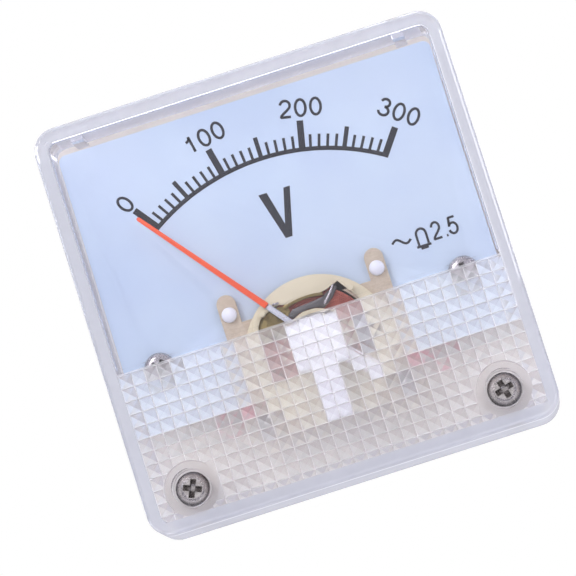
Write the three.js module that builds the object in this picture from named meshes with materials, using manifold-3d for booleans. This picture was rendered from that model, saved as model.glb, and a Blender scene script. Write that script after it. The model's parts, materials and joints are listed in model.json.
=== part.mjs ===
// A flush-panel analog voltmeter: a clear box cover over a printed dial, a moving-iron movement on a
// board behind it, and a round barrel that passes through the panel, with terminals at its back.
// Millimetres. +X is right and +Z up as the dial is read, and the dial faces -Y. The origin is where
// the barrel's axis meets the panel's front face, so everything with y > 0 is behind the panel.
import * as THREE from "three";
import { mergeVertices } from "three/addons/utils/BufferGeometryUtils.js";
import Module from "manifold-3d";

const wasm = await Module();
wasm.setup();

// ---------------------------------------------------------------- driving dimensions

// front cover
const COVER_WIDTH = 64;
const COVER_HEIGHT = 64;
const COVER_WALL = 2;
const COVER_FACE = 1.8; // thickness of the smooth upper face
const COVER_CORNER = 3.6;
const COVER_EDGE = 0.7; // bevel round the front edge
const PRISM_TOP = -6; // upper edge of the prismatic part of the face
const PRISM_FACE = 2.2; // thickness of the face there
const HOOK_INSET = 6.7; // cover's side to the two ribs inside its top wall
const HOOK_WIDTH = 1.8;
const HOOK_HEIGHT = 1;

// cover screws, in bosses at the lower corners
const COVER_SCREW_INSET = 7.6; // cover's side to the screw
const COVER_SCREW_RISE = 6; // cover's lower edge to the screw
const COVER_BOSS_RADIUS = 4.2;
const COVER_SCREW_SINK = 3; // face to the top of the screw head
const COVER_SCREW_WEB = 1.5; // cover left under the head
const COVER_SCREW = { radius: 1.5, head: 2.6, rise: 1.7, length: 9, slot: 0.75 };

// rear case
const FLOOR_THICK = 2.5; // the case's front plate, which seats on the panel
const BARREL_RADIUS = 26;
const BARREL_WALL = 1.6;
const BARREL_DEPTH = 29; // behind the panel, rear cap included
const CAP_THICK = 2.5;
const CAP_LEDGE = 1.2; // step inside the barrel that the cap rests on
const POST_RADIUS = 3.2; // under the cover screws
const DIAL_POST_RADIUS = 2.5;

// dial
const DIAL_FRONT = 6; // panel face to the front of the dial
const DIAL_DEPTH = 9; // front of the clear face to the dial
const DIAL_THICK = 0.5;
const DIAL_BOTTOM = -16.3;
const DIAL_CORNER = 1.2;
const DIAL_SCREW_INSET = 8; // cover's side to the screw
const DIAL_SCREW_Z = -6.9;
const DIAL_REST_Z = 23; // height of the two upper posts the dial leans on
const DIAL_SCREW = { radius: 1.3, head: 2.4, rise: 1.5, length: 4.4, slot: 0.7 };

// movement
const PIVOT_Z = -10.4; // height of the pointer's axis
const BOARD_THICK = 1;
const BOARD_HALF = 13.1;
const BOARD_TOP = -4;
const BOARD_BOTTOM = -23.2;
const EAR_X = 11.65;
const EAR_WIDTH = 2.9;
const EAR_TOP = 0.65;
const EAR_POST_Z = -2.45;
const EAR_POST_RADIUS = 0.95;
const BOARD_SCREW_X = 11;
const BOARD_SCREW_Z = -20;
const BOARD_SCREW = { radius: 1, head: 1.9, rise: 1.2, length: 4, slot: 0.5 };
const FLANGE_RADIUS = 11.4; // the bobbin's front cheek
const FLANGE_DROP = 1.3; // how far the cheek's centre lies below the axis
const FLANGE_THICK = 0.8;
const REAR_FLANGE_STEP = 1.2; // how much smaller the rear cheek is
const REAR_FLANGE_THICK = 0.8;
const BORE_RADIUS = 4.4; // inside the coil, where the irons sit
const BOBBIN_WALL = 0.6;
const WINDING_STEP = 1.8; // the front cheek's upper edge to the winding
const WINDING_BACK = 4.2; // how far behind the panel face the winding reaches
const IRON_THICK = 0.5;
const IRON_LENGTH = 7;

// moving system
const SPINDLE_RADIUS = 0.45;
const SPINDLE_BACK = 11.4; // panel face to the spindle's rear tip
const TIP_DEPTH = 0.8; // how far its front tip reaches into the front jewel
const HUB_RADIUS = 1.1;
const POINTER_TIP = 33.05; // from the axis
const POINTER_ROOT = 9.4;
const POINTER_TIP_WIDTH = 0.6;
const POINTER_ROOT_WIDTH = 0.95;
const POINTER_RISE = 1.1; // bobbin's cheek to the front of the pointer
const POINTER_THICK = 0.3;
const REST_ANGLE = -38.2; // the pointer at rest, in degrees from straight up
const SWING_BELOW = 2; // how far the pointer can fall below rest
const SWING_ABOVE = 80;
const VANE_MARGIN = 1.7; // rear cheek's rim to the vane's edge
const VANE_SPREAD = 118;
const VANE_FRONT_Y = 8;
const VANE_THICK = 0.3;
const BALANCE_REACH = 4;
const BALANCE_RADIUS = 0.8;
const BALANCE_LENGTH = 1.7;

// bridges, zero lever and hairspring
const BRIDGE_ROOM = 0.6; // between the bridge and the prisms' plate
const BRIDGE_THICK = 1.2;
const BRIDGE_HALF = 4.1;
const BRIDGE_ABOVE = 3; // above the axis
const BRIDGE_BELOW = 4;
const STEM_HALF = 2.1;
const STEM_BOTTOM = -22.5;
const FOOT_HEIGHT = 2.2;
const BRIDGE_BOSS_RADIUS = 2;
const JEWEL_RADIUS = 1;
const JEWEL_LENGTH = 1.3;
const LEVER_THICK = 0.7;
const LEVER_RING = 3.6;
const LEVER_REACH = 11.2;
const LEVER_WIDTH = 2.3;
const LEVER_ANGLE = 134.7; // from straight up, clockwise as the dial is read
const LEVER_TRAVEL = 6;
const SPRING_INNER = 1.55;
const SPRING_PITCH = 0.5;
const SPRING_TURNS = 3.5;
const SPRING_STRIP = 0.15;
const SPRING_WIDTH = 0.5;
const REAR_BRIDGE_Y = 12;
const REAR_BRIDGE_THICK = 1.2;
const REAR_BRIDGE_MARGIN = 0.5; // rear cheek's rim to the bridge's feet
const REAR_BRIDGE_HEIGHT = 5;
const REAR_BRIDGE_LEG = 0.8;
const REAR_JEWEL_RADIUS = 1.5;
const REAR_JEWEL_LENGTH = 5;
const MAGNET_SIZE = 3.4;
const MAGNET_THICK = 1.8;
const YOKE_THICK = 0.8;

// fasteners and wiring behind the panel
const PANEL_THICK = 2; // the panel that the nuts are run down for
const STUD_GAP = 3.7; // barrel to the edge of a stud's washer
const STUD_RADIUS = 1.5;
const STUD_LENGTH = 14; // behind the panel face
const NUT_M3 = { flats: 5.5, height: 2.4 };
const WASHER_M3 = { radius: 3.5, height: 0.5 };
const TERMINAL_X = 12.5;
const TERMINAL_RADIUS = 2;
const TERMINAL_REACH = 12; // behind the rear cap
const TERMINAL_HEAD = { flats: 7, height: 2.5 };
const NUT_M4 = { flats: 7, height: 3.2 };
const WASHER_M4 = { radius: 4.5, height: 0.8 };
const LUG_THICK = 0.8;
const LEAD_HOLE_RADIUS = 2.2;
const LEAD_HOLE_GAP = 0.4; // lead hole to the barrel's wall
const LEAD_HOLE_ANGLE = 130.5; // from straight up
const RESISTOR = { x: -17, z: -4, radius: 2.2, room: 4, length: 11, lead: 0.35, wire: 2 };
const WIRE_RADIUS = 0.6;

// fits
const CASE_GAP = 0.3; // case inside the cover's walls
const DIAL_GAP = 0.6; // dial inside the cover's walls
const HOLE_GAP = 0.15; // radial room round a screw, stud or post
const NEAR_GAP = 0.3; // between pieces that lie close without touching
const TIP_GAP = 0.12; // spindle tip in its jewel

// ---------------------------------------------------------------- derived places

const dialFrontY = -DIAL_FRONT;
const dialBackY = dialFrontY + DIAL_THICK;
const boardBackY = dialFrontY;
const boardFrontY = boardBackY - BOARD_THICK;
const flangeFrontY = boardFrontY - FLANGE_THICK;
const bobbinBackY = WINDING_BACK + REAR_FLANGE_THICK;
const coverFrontY = dialFrontY - DIAL_DEPTH;
const smoothY = coverFrontY + COVER_FACE;
const prismY = coverFrontY + PRISM_FACE;
const pointerFrontY = flangeFrontY - POINTER_RISE;
const springY = pointerFrontY - 0.1 - SPRING_WIDTH;
const bossBackY = springY - NEAR_GAP;
const bridgeFrontY = prismY + BRIDGE_ROOM;
const bridgeBackY = bridgeFrontY + BRIDGE_THICK;
const screwSeatY = coverFrontY + COVER_SCREW_SINK + COVER_SCREW.rise;
const coverBossY = screwSeatY + COVER_SCREW_WEB;
const capFrontY = BARREL_DEPTH - CAP_THICK;
const innerWidth = COVER_WIDTH - 2 * COVER_WALL;
const innerHeight = COVER_HEIGHT - 2 * COVER_WALL;
const innerCorner = Math.max(COVER_CORNER - COVER_WALL, 0.5);
const caseWidth = innerWidth - 2 * CASE_GAP;
const caseHeight = innerHeight - 2 * CASE_GAP;
const cheekZ = PIVOT_Z - FLANGE_DROP;
const cheekTop = FLANGE_RADIUS - FLANGE_DROP; // the axis to the cheek's upper edge
const wellRadius = cheekTop + 1; // the opening in the case's floor that the movement sits in
const notchRadius = FLANGE_RADIUS - 0.6; // the dial's cut-out, hidden behind the bobbin's cheek
const pointerBackY = pointerFrontY + POINTER_THICK;
const spindleFrontY = bossBackY - TIP_DEPTH;
const coverScrewX = COVER_WIDTH / 2 - COVER_SCREW_INSET;
const coverScrewZ = -COVER_HEIGHT / 2 + COVER_SCREW_RISE;
const dialScrewX = COVER_WIDTH / 2 - DIAL_SCREW_INSET;
const windingRadius = cheekTop - WINDING_STEP;
const rearCheekRadius = cheekTop - REAR_FLANGE_STEP;
const rearBridgeHalf = rearCheekRadius - REAR_BRIDGE_MARGIN;
const vaneRadius = rearCheekRadius - VANE_MARGIN;
const coreRadius = BORE_RADIUS + BOBBIN_WALL;
const studOffset = (BARREL_RADIUS + STUD_GAP + WASHER_M3.radius) / Math.SQRT2;
const lugY = capFrontY - LUG_THICK;
const radians = THREE.MathUtils.degToRad;

// ---------------------------------------------------------------- solids and shapes

const ROUND = 32; // sides of a part you can see round
const SMALL = 16; // sides of a small round part

function toSolid(geometry) {
  const bare = geometry.clone();
  for (const name of Object.keys(bare.attributes)) {
    if (name !== "position") bare.deleteAttribute(name);
  }
  const merged = mergeVertices(bare, 1e-4);
  return new wasm.Manifold(
    new wasm.Mesh({
      numProp: 3,
      vertProperties: new Float32Array(merged.attributes.position.array),
      triVerts: new Uint32Array(merged.index.array),
    }),
  );
}

function toGeometry(solid) {
  const mesh = solid.getMesh();
  const positions = new Float32Array(mesh.numVert * 3);
  for (let i = 0; i < mesh.numVert; i++) {
    const from = i * mesh.numProp;
    positions.set(mesh.vertProperties.subarray(from, from + 3), i * 3);
  }
  return new THREE.BufferGeometry()
    .setAttribute("position", new THREE.BufferAttribute(positions, 3))
    .setIndex(new THREE.BufferAttribute(new Uint32Array(mesh.triVerts), 1));
}

const join = (geometries) => toGeometry(geometries.map(toSolid).reduce((a, b) => a.add(b)));

const cut = (body, tools) =>
  toGeometry(tools.map(toSolid).reduce((a, b) => a.subtract(b), toSolid(body)));

// A flat outline in (x, z), made solid between two depths.
function slab(shape, fromY, toY, curveSegments = 12) {
  const options = { depth: toY - fromY, bevelEnabled: false, curveSegments };
  return new THREE.ExtrudeGeometry(shape, options).rotateX(Math.PI / 2).translate(0, toY, 0);
}

// A profile of [radius, y] points turned about a line along Y through (x, z).
function turned(profile, x = 0, z = 0, sides = ROUND) {
  const points = profile.map(([radius, y]) => new THREE.Vector2(radius, y));
  return new THREE.LatheGeometry(points, sides).translate(x, 0, z);
}

// A plain rod along Y.
function rod(radius, fromY, toY, x = 0, z = 0, sides = SMALL) {
  return turned([[0, fromY], [radius, fromY], [radius, toY], [0, toY]], x, z, sides);
}

// A tube along Y.
function pipe(inner, outer, fromY, toY, x = 0, z = 0, sides = ROUND) {
  const profile = [[inner, fromY], [outer, fromY], [outer, toY], [inner, toY], [inner, fromY]];
  return turned(profile, x, z, sides);
}

function box(x0, x1, y0, y1, z0, z1) {
  return new THREE.BoxGeometry(x1 - x0, y1 - y0, z1 - z0).translate(
    (x0 + x1) / 2,
    (y0 + y1) / 2,
    (z0 + z1) / 2,
  );
}

function roundedRect(x0, x1, z0, z1, radius) {
  const shape = new THREE.Shape();
  shape.moveTo(x0 + radius, z0);
  shape.lineTo(x1 - radius, z0);
  shape.absarc(x1 - radius, z0 + radius, radius, -Math.PI / 2, 0);
  shape.lineTo(x1, z1 - radius);
  shape.absarc(x1 - radius, z1 - radius, radius, 0, Math.PI / 2);
  shape.lineTo(x0 + radius, z1);
  shape.absarc(x0 + radius, z1 - radius, radius, Math.PI / 2, Math.PI);
  shape.lineTo(x0, z0 + radius);
  shape.absarc(x0 + radius, z0 + radius, radius, Math.PI, 1.5 * Math.PI);
  return shape;
}

// A ring sector about the origin; angles in degrees from straight up, clockwise as the dial is read.
function sector(inner, outer, from, to) {
  const shape = new THREE.Shape();
  const start = Math.PI / 2 - radians(to);
  const end = Math.PI / 2 - radians(from);
  shape.absarc(0, 0, outer, start, end, false);
  shape.absarc(0, 0, inner, end, start, true);
  shape.closePath();
  return shape;
}

function polygon(points) {
  return new THREE.Shape(points.map(([x, z]) => new THREE.Vector2(x, z)));
}

function hexagon(flats) {
  const corner = flats / Math.sqrt(3);
  const angles = Array.from({ length: 6 }, (_, i) => (i * Math.PI) / 3);
  return polygon(angles.map((a) => [corner * Math.cos(a), corner * Math.sin(a)]));
}

function wireAlong(points, radius, steps) {
  const path = new THREE.CatmullRomCurve3(points.map((p) => new THREE.Vector3(...p)), false, "centripetal");
  const ring = new THREE.Shape().absarc(0, 0, radius, 0, 2 * Math.PI);
  return new THREE.ExtrudeGeometry(ring, {
    steps,
    curveSegments: 4,
    bevelEnabled: false,
    extrudePath: path,
  });
}

// ---------------------------------------------------------------- scene graph

const finishes = {
  clear: { color: 0xdfe4f2, roughness: 0.05, metalness: 0, transparent: true, opacity: 0.35 },
  cream: { color: 0xe2d9cc, roughness: 0.45, metalness: 0 },
  ivory: { color: 0xd8cdbb, roughness: 0.5, metalness: 0 },
  white: { color: 0xf2f2f4, roughness: 0.4, metalness: 0 },
  tan: { color: 0xc9b9a4, roughness: 0.6, metalness: 0 },
  dial: { color: 0xcbdaf0, roughness: 0.35, metalness: 0 },
  orange: { color: 0xff5a3c, roughness: 0.5, metalness: 0 },
  copper: { color: 0xb5483a, roughness: 0.35, metalness: 0.5 },
  brass: { color: 0xc9a54e, roughness: 0.3, metalness: 1 },
  bronze: { color: 0xb07a48, roughness: 0.3, metalness: 1 },
  nickel: { color: 0xb4b2b0, roughness: 0.28, metalness: 1 },
  steel: { color: 0x8f9194, roughness: 0.35, metalness: 1 },
  iron: { color: 0x4b4a4c, roughness: 0.5, metalness: 0.8 },
  aluminium: { color: 0xc9cbce, roughness: 0.35, metalness: 1 },
  magnet: { color: 0x3a3a3d, roughness: 0.6, metalness: 0.4 },
  red: { color: 0xa3182e, roughness: 0.4, metalness: 0 },
  blue: { color: 0x6f9cb8, roughness: 0.4, metalness: 0 },
};

const meter = new THREE.Group();
const cover = new THREE.Group();
const housing = new THREE.Group();
const movement = new THREE.Group();
const zeroLever = new THREE.Group();
const rotor = new THREE.Group();
const fasteners = new THREE.Group();
meter.add(cover, housing, movement, zeroLever, rotor, fasteners);

function addPart(group, name, geometry, finish) {
  const mesh = new THREE.Mesh(geometry, new THREE.MeshStandardMaterial(finishes[finish]));
  mesh.name = name;
  group.add(mesh);
}

const sides = [
  ["left", -1],
  ["right", 1],
];

// ---------------------------------------------------------------- fasteners

// A pan-head screw driven in along +Y, with a cross in its head; its seat is at the given depth.
function panScrew(size, seatY, x, z) {
  const topY = seatY - size.rise;
  const shoulder = seatY - 0.55 * size.rise;
  const body = turned(
    [
      [0, topY],
      [0.62 * size.head, topY + 0.12 * size.rise],
      [size.head, shoulder],
      [size.head, seatY],
      [size.radius, seatY],
      [size.radius, seatY + size.length - size.radius / 2],
      [size.radius / 2, seatY + size.length],
      [0, seatY + size.length],
    ],
    x,
    z,
    24,
  );
  const reach = 0.58 * size.head;
  const half = size.slot / 2;
  const depth = 0.65 * size.rise;
  return cut(body, [
    box(x - reach, x + reach, topY - 1, topY + depth, z - half, z + half),
    box(x - half, x + half, topY - 1, topY + depth, z - reach, z + reach),
  ]);
}

function hexNut(size, bore, fromY, x, z) {
  const blank = slab(hexagon(size.flats), fromY, fromY + size.height).translate(x, 0, z);
  return cut(blank, [rod(bore, fromY - 1, fromY + size.height + 1, x, z)]);
}

// ---------------------------------------------------------------- cover

function coverBody() {
  const halfWidth = COVER_WIDTH / 2;
  const halfHeight = COVER_HEIGHT / 2;
  const outline = roundedRect(-halfWidth, halfWidth, -halfHeight, halfHeight, COVER_CORNER);
  const front = new THREE.ExtrudeGeometry(outline, {
    depth: -coverFrontY / 2,
    bevelThickness: COVER_EDGE,
    bevelSize: COVER_EDGE,
    bevelOffset: -COVER_EDGE,
    bevelSegments: 2,
    curveSegments: 6,
  })
    .rotateX(Math.PI / 2)
    .translate(0, coverFrontY / 2 + COVER_EDGE, 0);
  const skirt = slab(outline, coverFrontY / 2, 0, 6);
  const insideX = innerWidth / 2;
  const insideZ = innerHeight / 2;
  const room = roundedRect(-insideX, insideX, -insideZ, insideZ, innerCorner);
  const shell = cut(join([front, skirt]), [slab(room, smoothY, 1, 6)]);
  const bite = 0.1; // how far an added piece runs into the wall it grows from
  const additions = [shell];
  const prismX = insideX + bite;
  additions.push(box(-prismX, prismX, smoothY - bite, prismY, -insideZ - bite, PRISM_TOP));
  for (const [, side] of sides) {
    const x = side * coverScrewX;
    additions.push(rod(COVER_BOSS_RADIUS, smoothY - bite, coverBossY, x, coverScrewZ, ROUND));
    const rib = side * (COVER_WIDTH / 2 - HOOK_INSET);
    const half = HOOK_WIDTH / 2;
    const endY = -FLOOR_THICK - NEAR_GAP;
    const ribZ = insideZ - HOOK_HEIGHT;
    additions.push(box(rib - half, rib + half, smoothY - bite, endY, ribZ, insideZ + bite));
  }
  const holes = sides.flatMap(([, side]) => [
    rod(COVER_SCREW.head + 2 * HOLE_GAP, coverFrontY - 1, screwSeatY, side * coverScrewX, coverScrewZ, 24),
    rod(COVER_SCREW.radius + HOLE_GAP, coverFrontY, coverBossY + 1, side * coverScrewX, coverScrewZ),
  ]);
  return cut(join(additions), holes);
}

addPart(cover, "front_cover", coverBody(), "clear");
for (const [name, side] of sides) {
  const screw = panScrew(COVER_SCREW, screwSeatY, side * coverScrewX, coverScrewZ);
  addPart(cover, "cover_screw_" + name, screw, "nickel");
}

// ---------------------------------------------------------------- case

const terminalPlaces = sides.map(([name, side]) => [name, side * TERMINAL_X]);
const studPlaces = [
  ["upper_left", -studOffset, studOffset],
  ["upper_right", studOffset, studOffset],
  ["lower_left", -studOffset, -studOffset],
  ["lower_right", studOffset, -studOffset],
];
// where each lead passes through the floor, hidden behind the dial
const leadHoleReach = BARREL_RADIUS - BARREL_WALL - LEAD_HOLE_GAP - LEAD_HOLE_RADIUS;
const leadHoleX = leadHoleReach * Math.sin(radians(LEAD_HOLE_ANGLE));
const leadHoleZ = leadHoleReach * Math.cos(radians(LEAD_HOLE_ANGLE));
const leadHoles = { left: [-leadHoleX, leadHoleZ], right: [leadHoleX, leadHoleZ] };

function caseBody() {
  const halfX = caseWidth / 2;
  const halfZ = caseHeight / 2;
  const plate = slab(roundedRect(-halfX, halfX, -halfZ, halfZ, innerCorner), -FLOOR_THICK, 0, 6);
  const barrel = pipe(BARREL_RADIUS - BARREL_WALL, BARREL_RADIUS, -0.5, BARREL_DEPTH, 0, 0, 56);
  const ledge = pipe(
    BARREL_RADIUS - BARREL_WALL - CAP_LEDGE,
    BARREL_RADIUS - BARREL_WALL / 2,
    capFrontY - 2,
    capFrontY - NEAR_GAP,
    0,
    0,
    56,
  );
  const posts = [];
  const holes = [rod(wellRadius, -FLOOR_THICK - 1, 1, 0, PIVOT_Z, ROUND)];
  for (const [name, side] of sides) {
    const coverX = side * coverScrewX;
    posts.push(rod(POST_RADIUS, coverBossY + NEAR_GAP, -1, coverX, coverScrewZ, 24));
    const coverHole = COVER_SCREW.radius + HOLE_GAP;
    const coverTip = screwSeatY + COVER_SCREW.length + NEAR_GAP;
    holes.push(rod(coverHole, coverBossY - 1, coverTip, coverX, coverScrewZ));
    const dialX = side * dialScrewX;
    posts.push(rod(DIAL_POST_RADIUS, dialBackY, -1, dialX, DIAL_SCREW_Z, 20));
    posts.push(rod(DIAL_POST_RADIUS, dialBackY, -1, dialX, DIAL_REST_Z, 20));
    const dialTip = dialFrontY + DIAL_SCREW.length + NEAR_GAP;
    holes.push(rod(DIAL_SCREW.radius + HOLE_GAP, dialBackY - 1, dialTip, dialX, DIAL_SCREW_Z));
    const boardX = side * BOARD_SCREW_X;
    posts.push(rod(BOARD_SCREW.head, boardBackY, -1, boardX, BOARD_SCREW_Z, 20));
    const boardTip = boardFrontY + BOARD_SCREW.length + NEAR_GAP;
    holes.push(rod(BOARD_SCREW.radius + HOLE_GAP, boardBackY - 1, boardTip, boardX, BOARD_SCREW_Z));
    holes.push(rod(EAR_POST_RADIUS + HOLE_GAP, -FLOOR_THICK - 1, -0.7, side * EAR_X, EAR_POST_Z));
    const [leadX, leadZ] = leadHoles[name];
    holes.push(rod(LEAD_HOLE_RADIUS, -FLOOR_THICK - 1, 1, leadX, leadZ));
  }
  for (const [, x, z] of studPlaces) holes.push(rod(STUD_RADIUS + HOLE_GAP, -1.7, 1, x, z));
  return cut(join([plate, barrel, ledge, ...posts]), holes);
}

function rearCap() {
  const radius = BARREL_RADIUS - BARREL_WALL - HOLE_GAP;
  const holes = terminalPlaces.map(([, x]) =>
    rod(TERMINAL_RADIUS + HOLE_GAP, capFrontY - 1, BARREL_DEPTH + 1, x, 0),
  );
  return cut(rod(radius, capFrontY, BARREL_DEPTH, 0, 0, 56), holes);
}

addPart(housing, "rear_case", caseBody(), "cream");
addPart(housing, "rear_cap", rearCap(), "cream");

// ---------------------------------------------------------------- dial

function dialPlate() {
  const halfX = innerWidth / 2 - DIAL_GAP;
  const top = innerHeight / 2 - DIAL_GAP - HOOK_HEIGHT;
  const plate = slab(roundedRect(-halfX, halfX, DIAL_BOTTOM, top, DIAL_CORNER), dialFrontY, dialBackY, 4);
  const beyond = 1;
  const fromY = dialFrontY - beyond;
  const toY = dialBackY + beyond;
  const holes = sides.flatMap(([, side]) => [
    rod(DIAL_SCREW.radius + HOLE_GAP, fromY, toY, side * dialScrewX, DIAL_SCREW_Z),
    rod(EAR_POST_RADIUS + HOLE_GAP, fromY, toY, side * EAR_X, EAR_POST_Z),
  ]);
  return cut(plate, [
    rod(notchRadius, fromY, toY, 0, cheekZ, 40),
    box(-notchRadius, notchRadius, fromY, toY, DIAL_BOTTOM - beyond, cheekZ),
    ...holes,
  ]);
}

addPart(housing, "dial_plate", dialPlate(), "dial");
for (const [name, side] of sides) {
  const screw = panScrew(DIAL_SCREW, dialFrontY, side * dialScrewX, DIAL_SCREW_Z);
  addPart(housing, "dial_screw_" + name, screw, "nickel");
}

// ---------------------------------------------------------------- board and its posts

function boardBody() {
  const plate = slab(
    roundedRect(-BOARD_HALF, BOARD_HALF, BOARD_BOTTOM, BOARD_TOP, 0.8),
    boardFrontY,
    boardBackY,
    4,
  );
  const earHalf = EAR_WIDTH / 2;
  const ears = sides.map(([, side]) =>
    slab(
      roundedRect(side * EAR_X - earHalf, side * EAR_X + earHalf, BOARD_TOP - 3, EAR_TOP, earHalf),
      boardFrontY,
      boardBackY,
      8,
    ),
  );
  const holes = sides.flatMap(([, side]) => [
    rod(EAR_POST_RADIUS + HOLE_GAP, boardFrontY - 1, boardBackY + 1, side * EAR_X, EAR_POST_Z),
    rod(BOARD_SCREW.radius + HOLE_GAP, boardFrontY - 1, boardBackY + 1, side * BOARD_SCREW_X, BOARD_SCREW_Z),
  ]);
  const coilHole = rod(windingRadius + NEAR_GAP, boardFrontY - 1, boardBackY + 1, 0, PIVOT_Z, ROUND);
  const footZ = STEM_BOTTOM + FOOT_HEIGHT / 2;
  const footHole = rod(BOARD_SCREW.radius + HOLE_GAP, boardFrontY - 1, boardBackY + 1, 0, footZ);
  return cut(join([plate, ...ears]), [coilHole, footHole, ...holes]);
}

// A nylon post with a domed end, standing in the case's floor and holding an ear of the board.
function earPost(x) {
  const dome = 1;
  const baseY = -1;
  const head = EAR_POST_RADIUS + 0.25;
  return turned(
    [
      [0, boardFrontY - dome],
      [0.6 * head, boardFrontY - 0.85 * dome],
      [0.92 * head, boardFrontY - 0.5 * dome],
      [head, boardFrontY - 0.02],
      [EAR_POST_RADIUS, boardFrontY - 0.02],
      [EAR_POST_RADIUS, baseY],
      [0, baseY],
    ],
    x,
    EAR_POST_Z,
    20,
  );
}

addPart(movement, "movement_board", boardBody(), "tan");
for (const [name, side] of sides) {
  addPart(movement, "ear_post_" + name, earPost(side * EAR_X), "white");
  const screw = panScrew(BOARD_SCREW, boardFrontY, side * BOARD_SCREW_X, BOARD_SCREW_Z);
  addPart(movement, "board_screw_" + name, screw, "nickel");
}

// ---------------------------------------------------------------- coil and irons

// A point at an angle from straight up, clockwise as the dial is read, about the pointer's axis.
const polar = (angle, radius) => [radius * Math.sin(radians(angle)), radius * Math.cos(radians(angle))];

// The window in the front cheek, through which the winding and the field plate show. Each corner is
// an angle and its place between the coil's core, 0, and the cheek's upper edge, 1.
const WINDOW = [
  [-128, 0],
  [-122, 0.7],
  [-96, 0.76],
  [-69, 0.79],
  [-58, 0.92],
  [-50, 0.92],
  [-41, 0.82],
  [-29.7, 0.61],
  [-20, 0.41],
  [-1.7, 0.37],
  [16, 0.43],
  [25.6, 0.57],
  [34.5, 0.89],
  [59.6, 0.78],
  [96, 0.76],
  [122, 0.7],
  [128, 0],
];

const onCheek = (corners) =>
  corners.map(([angle, share]) => polar(angle, coreRadius + share * (cheekTop - coreRadius)));

function coilBobbin() {
  const cheek = rod(FLANGE_RADIUS, flangeFrontY, boardFrontY, 0, -FLANGE_DROP, 56);
  const core = pipe(BORE_RADIUS, coreRadius, flangeFrontY, bobbinBackY);
  const rear = rod(rearCheekRadius, WINDING_BACK, bobbinBackY, 0, 0, 40);
  const window = slab(polygon(onCheek(WINDOW)), flangeFrontY - 1, boardFrontY + 1);
  const footHalf = STEM_HALF + NEAR_GAP;
  const footTop = STEM_BOTTOM + FOOT_HEIGHT + NEAR_GAP - PIVOT_Z;
  const below = footTop - FOOT_HEIGHT - 2;
  const notch = box(-footHalf, footHalf, flangeFrontY - 1, boardFrontY + 1, below, footTop);
  const cheeks = cut(cheek, [window, notch]);
  const bore = rod(BORE_RADIUS, flangeFrontY - 1, bobbinBackY + 1, 0, 0, ROUND);
  return cut(join([cheeks, core, rear, ...pointerStops()]), [bore]).translate(0, 0, PIVOT_Z);
}

// Two pegs on the cheek that the pointer comes to rest against at the ends of its swing.
function pointerStops() {
  const radius = cheekTop - 0.7;
  const halfPointer = THREE.MathUtils.radToDeg(POINTER_ROOT_WIDTH / 2 / radius);
  const peg = 0.5;
  const halfPeg = THREE.MathUtils.radToDeg(peg / radius) + 0.6;
  const angles = [
    REST_ANGLE - SWING_BELOW - halfPointer - halfPeg,
    REST_ANGLE + SWING_ABOVE + halfPointer + halfPeg,
  ];
  return angles.map((angle) => {
    const a = radians(angle);
    const x = radius * Math.sin(a);
    const z = radius * Math.cos(a);
    return rod(peg, pointerFrontY - NEAR_GAP, boardFrontY - 0.2, x, z, 10);
  });
}

function coilWinding() {
  const inner = coreRadius + 0.05;
  const gap = 0.1;
  return pipe(inner, windingRadius, boardFrontY + gap, WINDING_BACK - gap, 0, PIVOT_Z, 40);
}

const ironFromY = -IRON_LENGTH / 2;

function fixedIron() {
  const outer = BORE_RADIUS - 0.1;
  return slab(sector(outer - IRON_THICK, outer, 80, 220), ironFromY, ironFromY + IRON_LENGTH, 10).translate(
    0,
    0,
    PIVOT_Z,
  );
}

// The dark field plate that shows in the window, with its tongue rising to the right. Its upper
// corners are placed like the window's, and its lower edge follows the coil's core.
const FIELD_PLATE = [
  [-32.9, 0.2],
  [-21.4, 0.25],
  [14.1, 0.26],
  [22.3, 0.35],
  [27.6, 0.54],
  [33.4, 0.75],
  [35.7, 0.72],
  [34.9, 0.39],
  [27, 0.03],
  [12, 0.03],
  [-4, 0.03],
  [-18, 0.03],
  [-31, 0.03],
];

function fieldPlate() {
  const outline = polygon(onCheek(FIELD_PLATE));
  return slab(outline, flangeFrontY + 0.25, boardFrontY - 0.05).translate(0, 0, PIVOT_Z);
}

addPart(movement, "coil_bobbin", coilBobbin(), "ivory");
addPart(movement, "coil_winding", coilWinding(), "copper");
addPart(movement, "fixed_iron", fixedIron(), "iron");
addPart(movement, "field_plate", fieldPlate(), "iron");

// ---------------------------------------------------------------- bridges

function frontBridge() {
  const top = PIVOT_Z + BRIDGE_ABOVE;
  const waist = PIVOT_Z - BRIDGE_BELOW;
  const plate = slab(roundedRect(-BRIDGE_HALF, BRIDGE_HALF, waist, top, 0.8), bridgeFrontY, bridgeBackY, 4);
  const stem = box(-STEM_HALF, STEM_HALF, bridgeFrontY, bridgeBackY, STEM_BOTTOM, waist + 1);
  const foot = box(-STEM_HALF, STEM_HALF, bridgeFrontY, boardFrontY, STEM_BOTTOM, STEM_BOTTOM + FOOT_HEIGHT);
  const boss = rod(BRIDGE_BOSS_RADIUS, bridgeBackY - 0.1, bossBackY, 0, PIVOT_Z, 24);
  const jewelHole = rod(JEWEL_RADIUS + 0.05, bossBackY - JEWEL_LENGTH - 0.1, bossBackY + 1, 0, PIVOT_Z);
  const footZ = STEM_BOTTOM + FOOT_HEIGHT / 2;
  const screwHole = rod(0.95, boardFrontY - 2.8, boardFrontY + 1, 0, footZ);
  return cut(join([plate, stem, foot, boss]), [jewelHole, screwHole]);
}

// The screw that holds the bridge's foot, driven from behind the board.
function bridgeScrew() {
  const size = { radius: 0.8, head: 1.6, rise: 1, length: 3.4, slot: 0.45 };
  const z = STEM_BOTTOM + FOOT_HEIGHT / 2;
  return panScrew(size, -boardBackY, 0, -z).rotateX(Math.PI);
}

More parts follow.
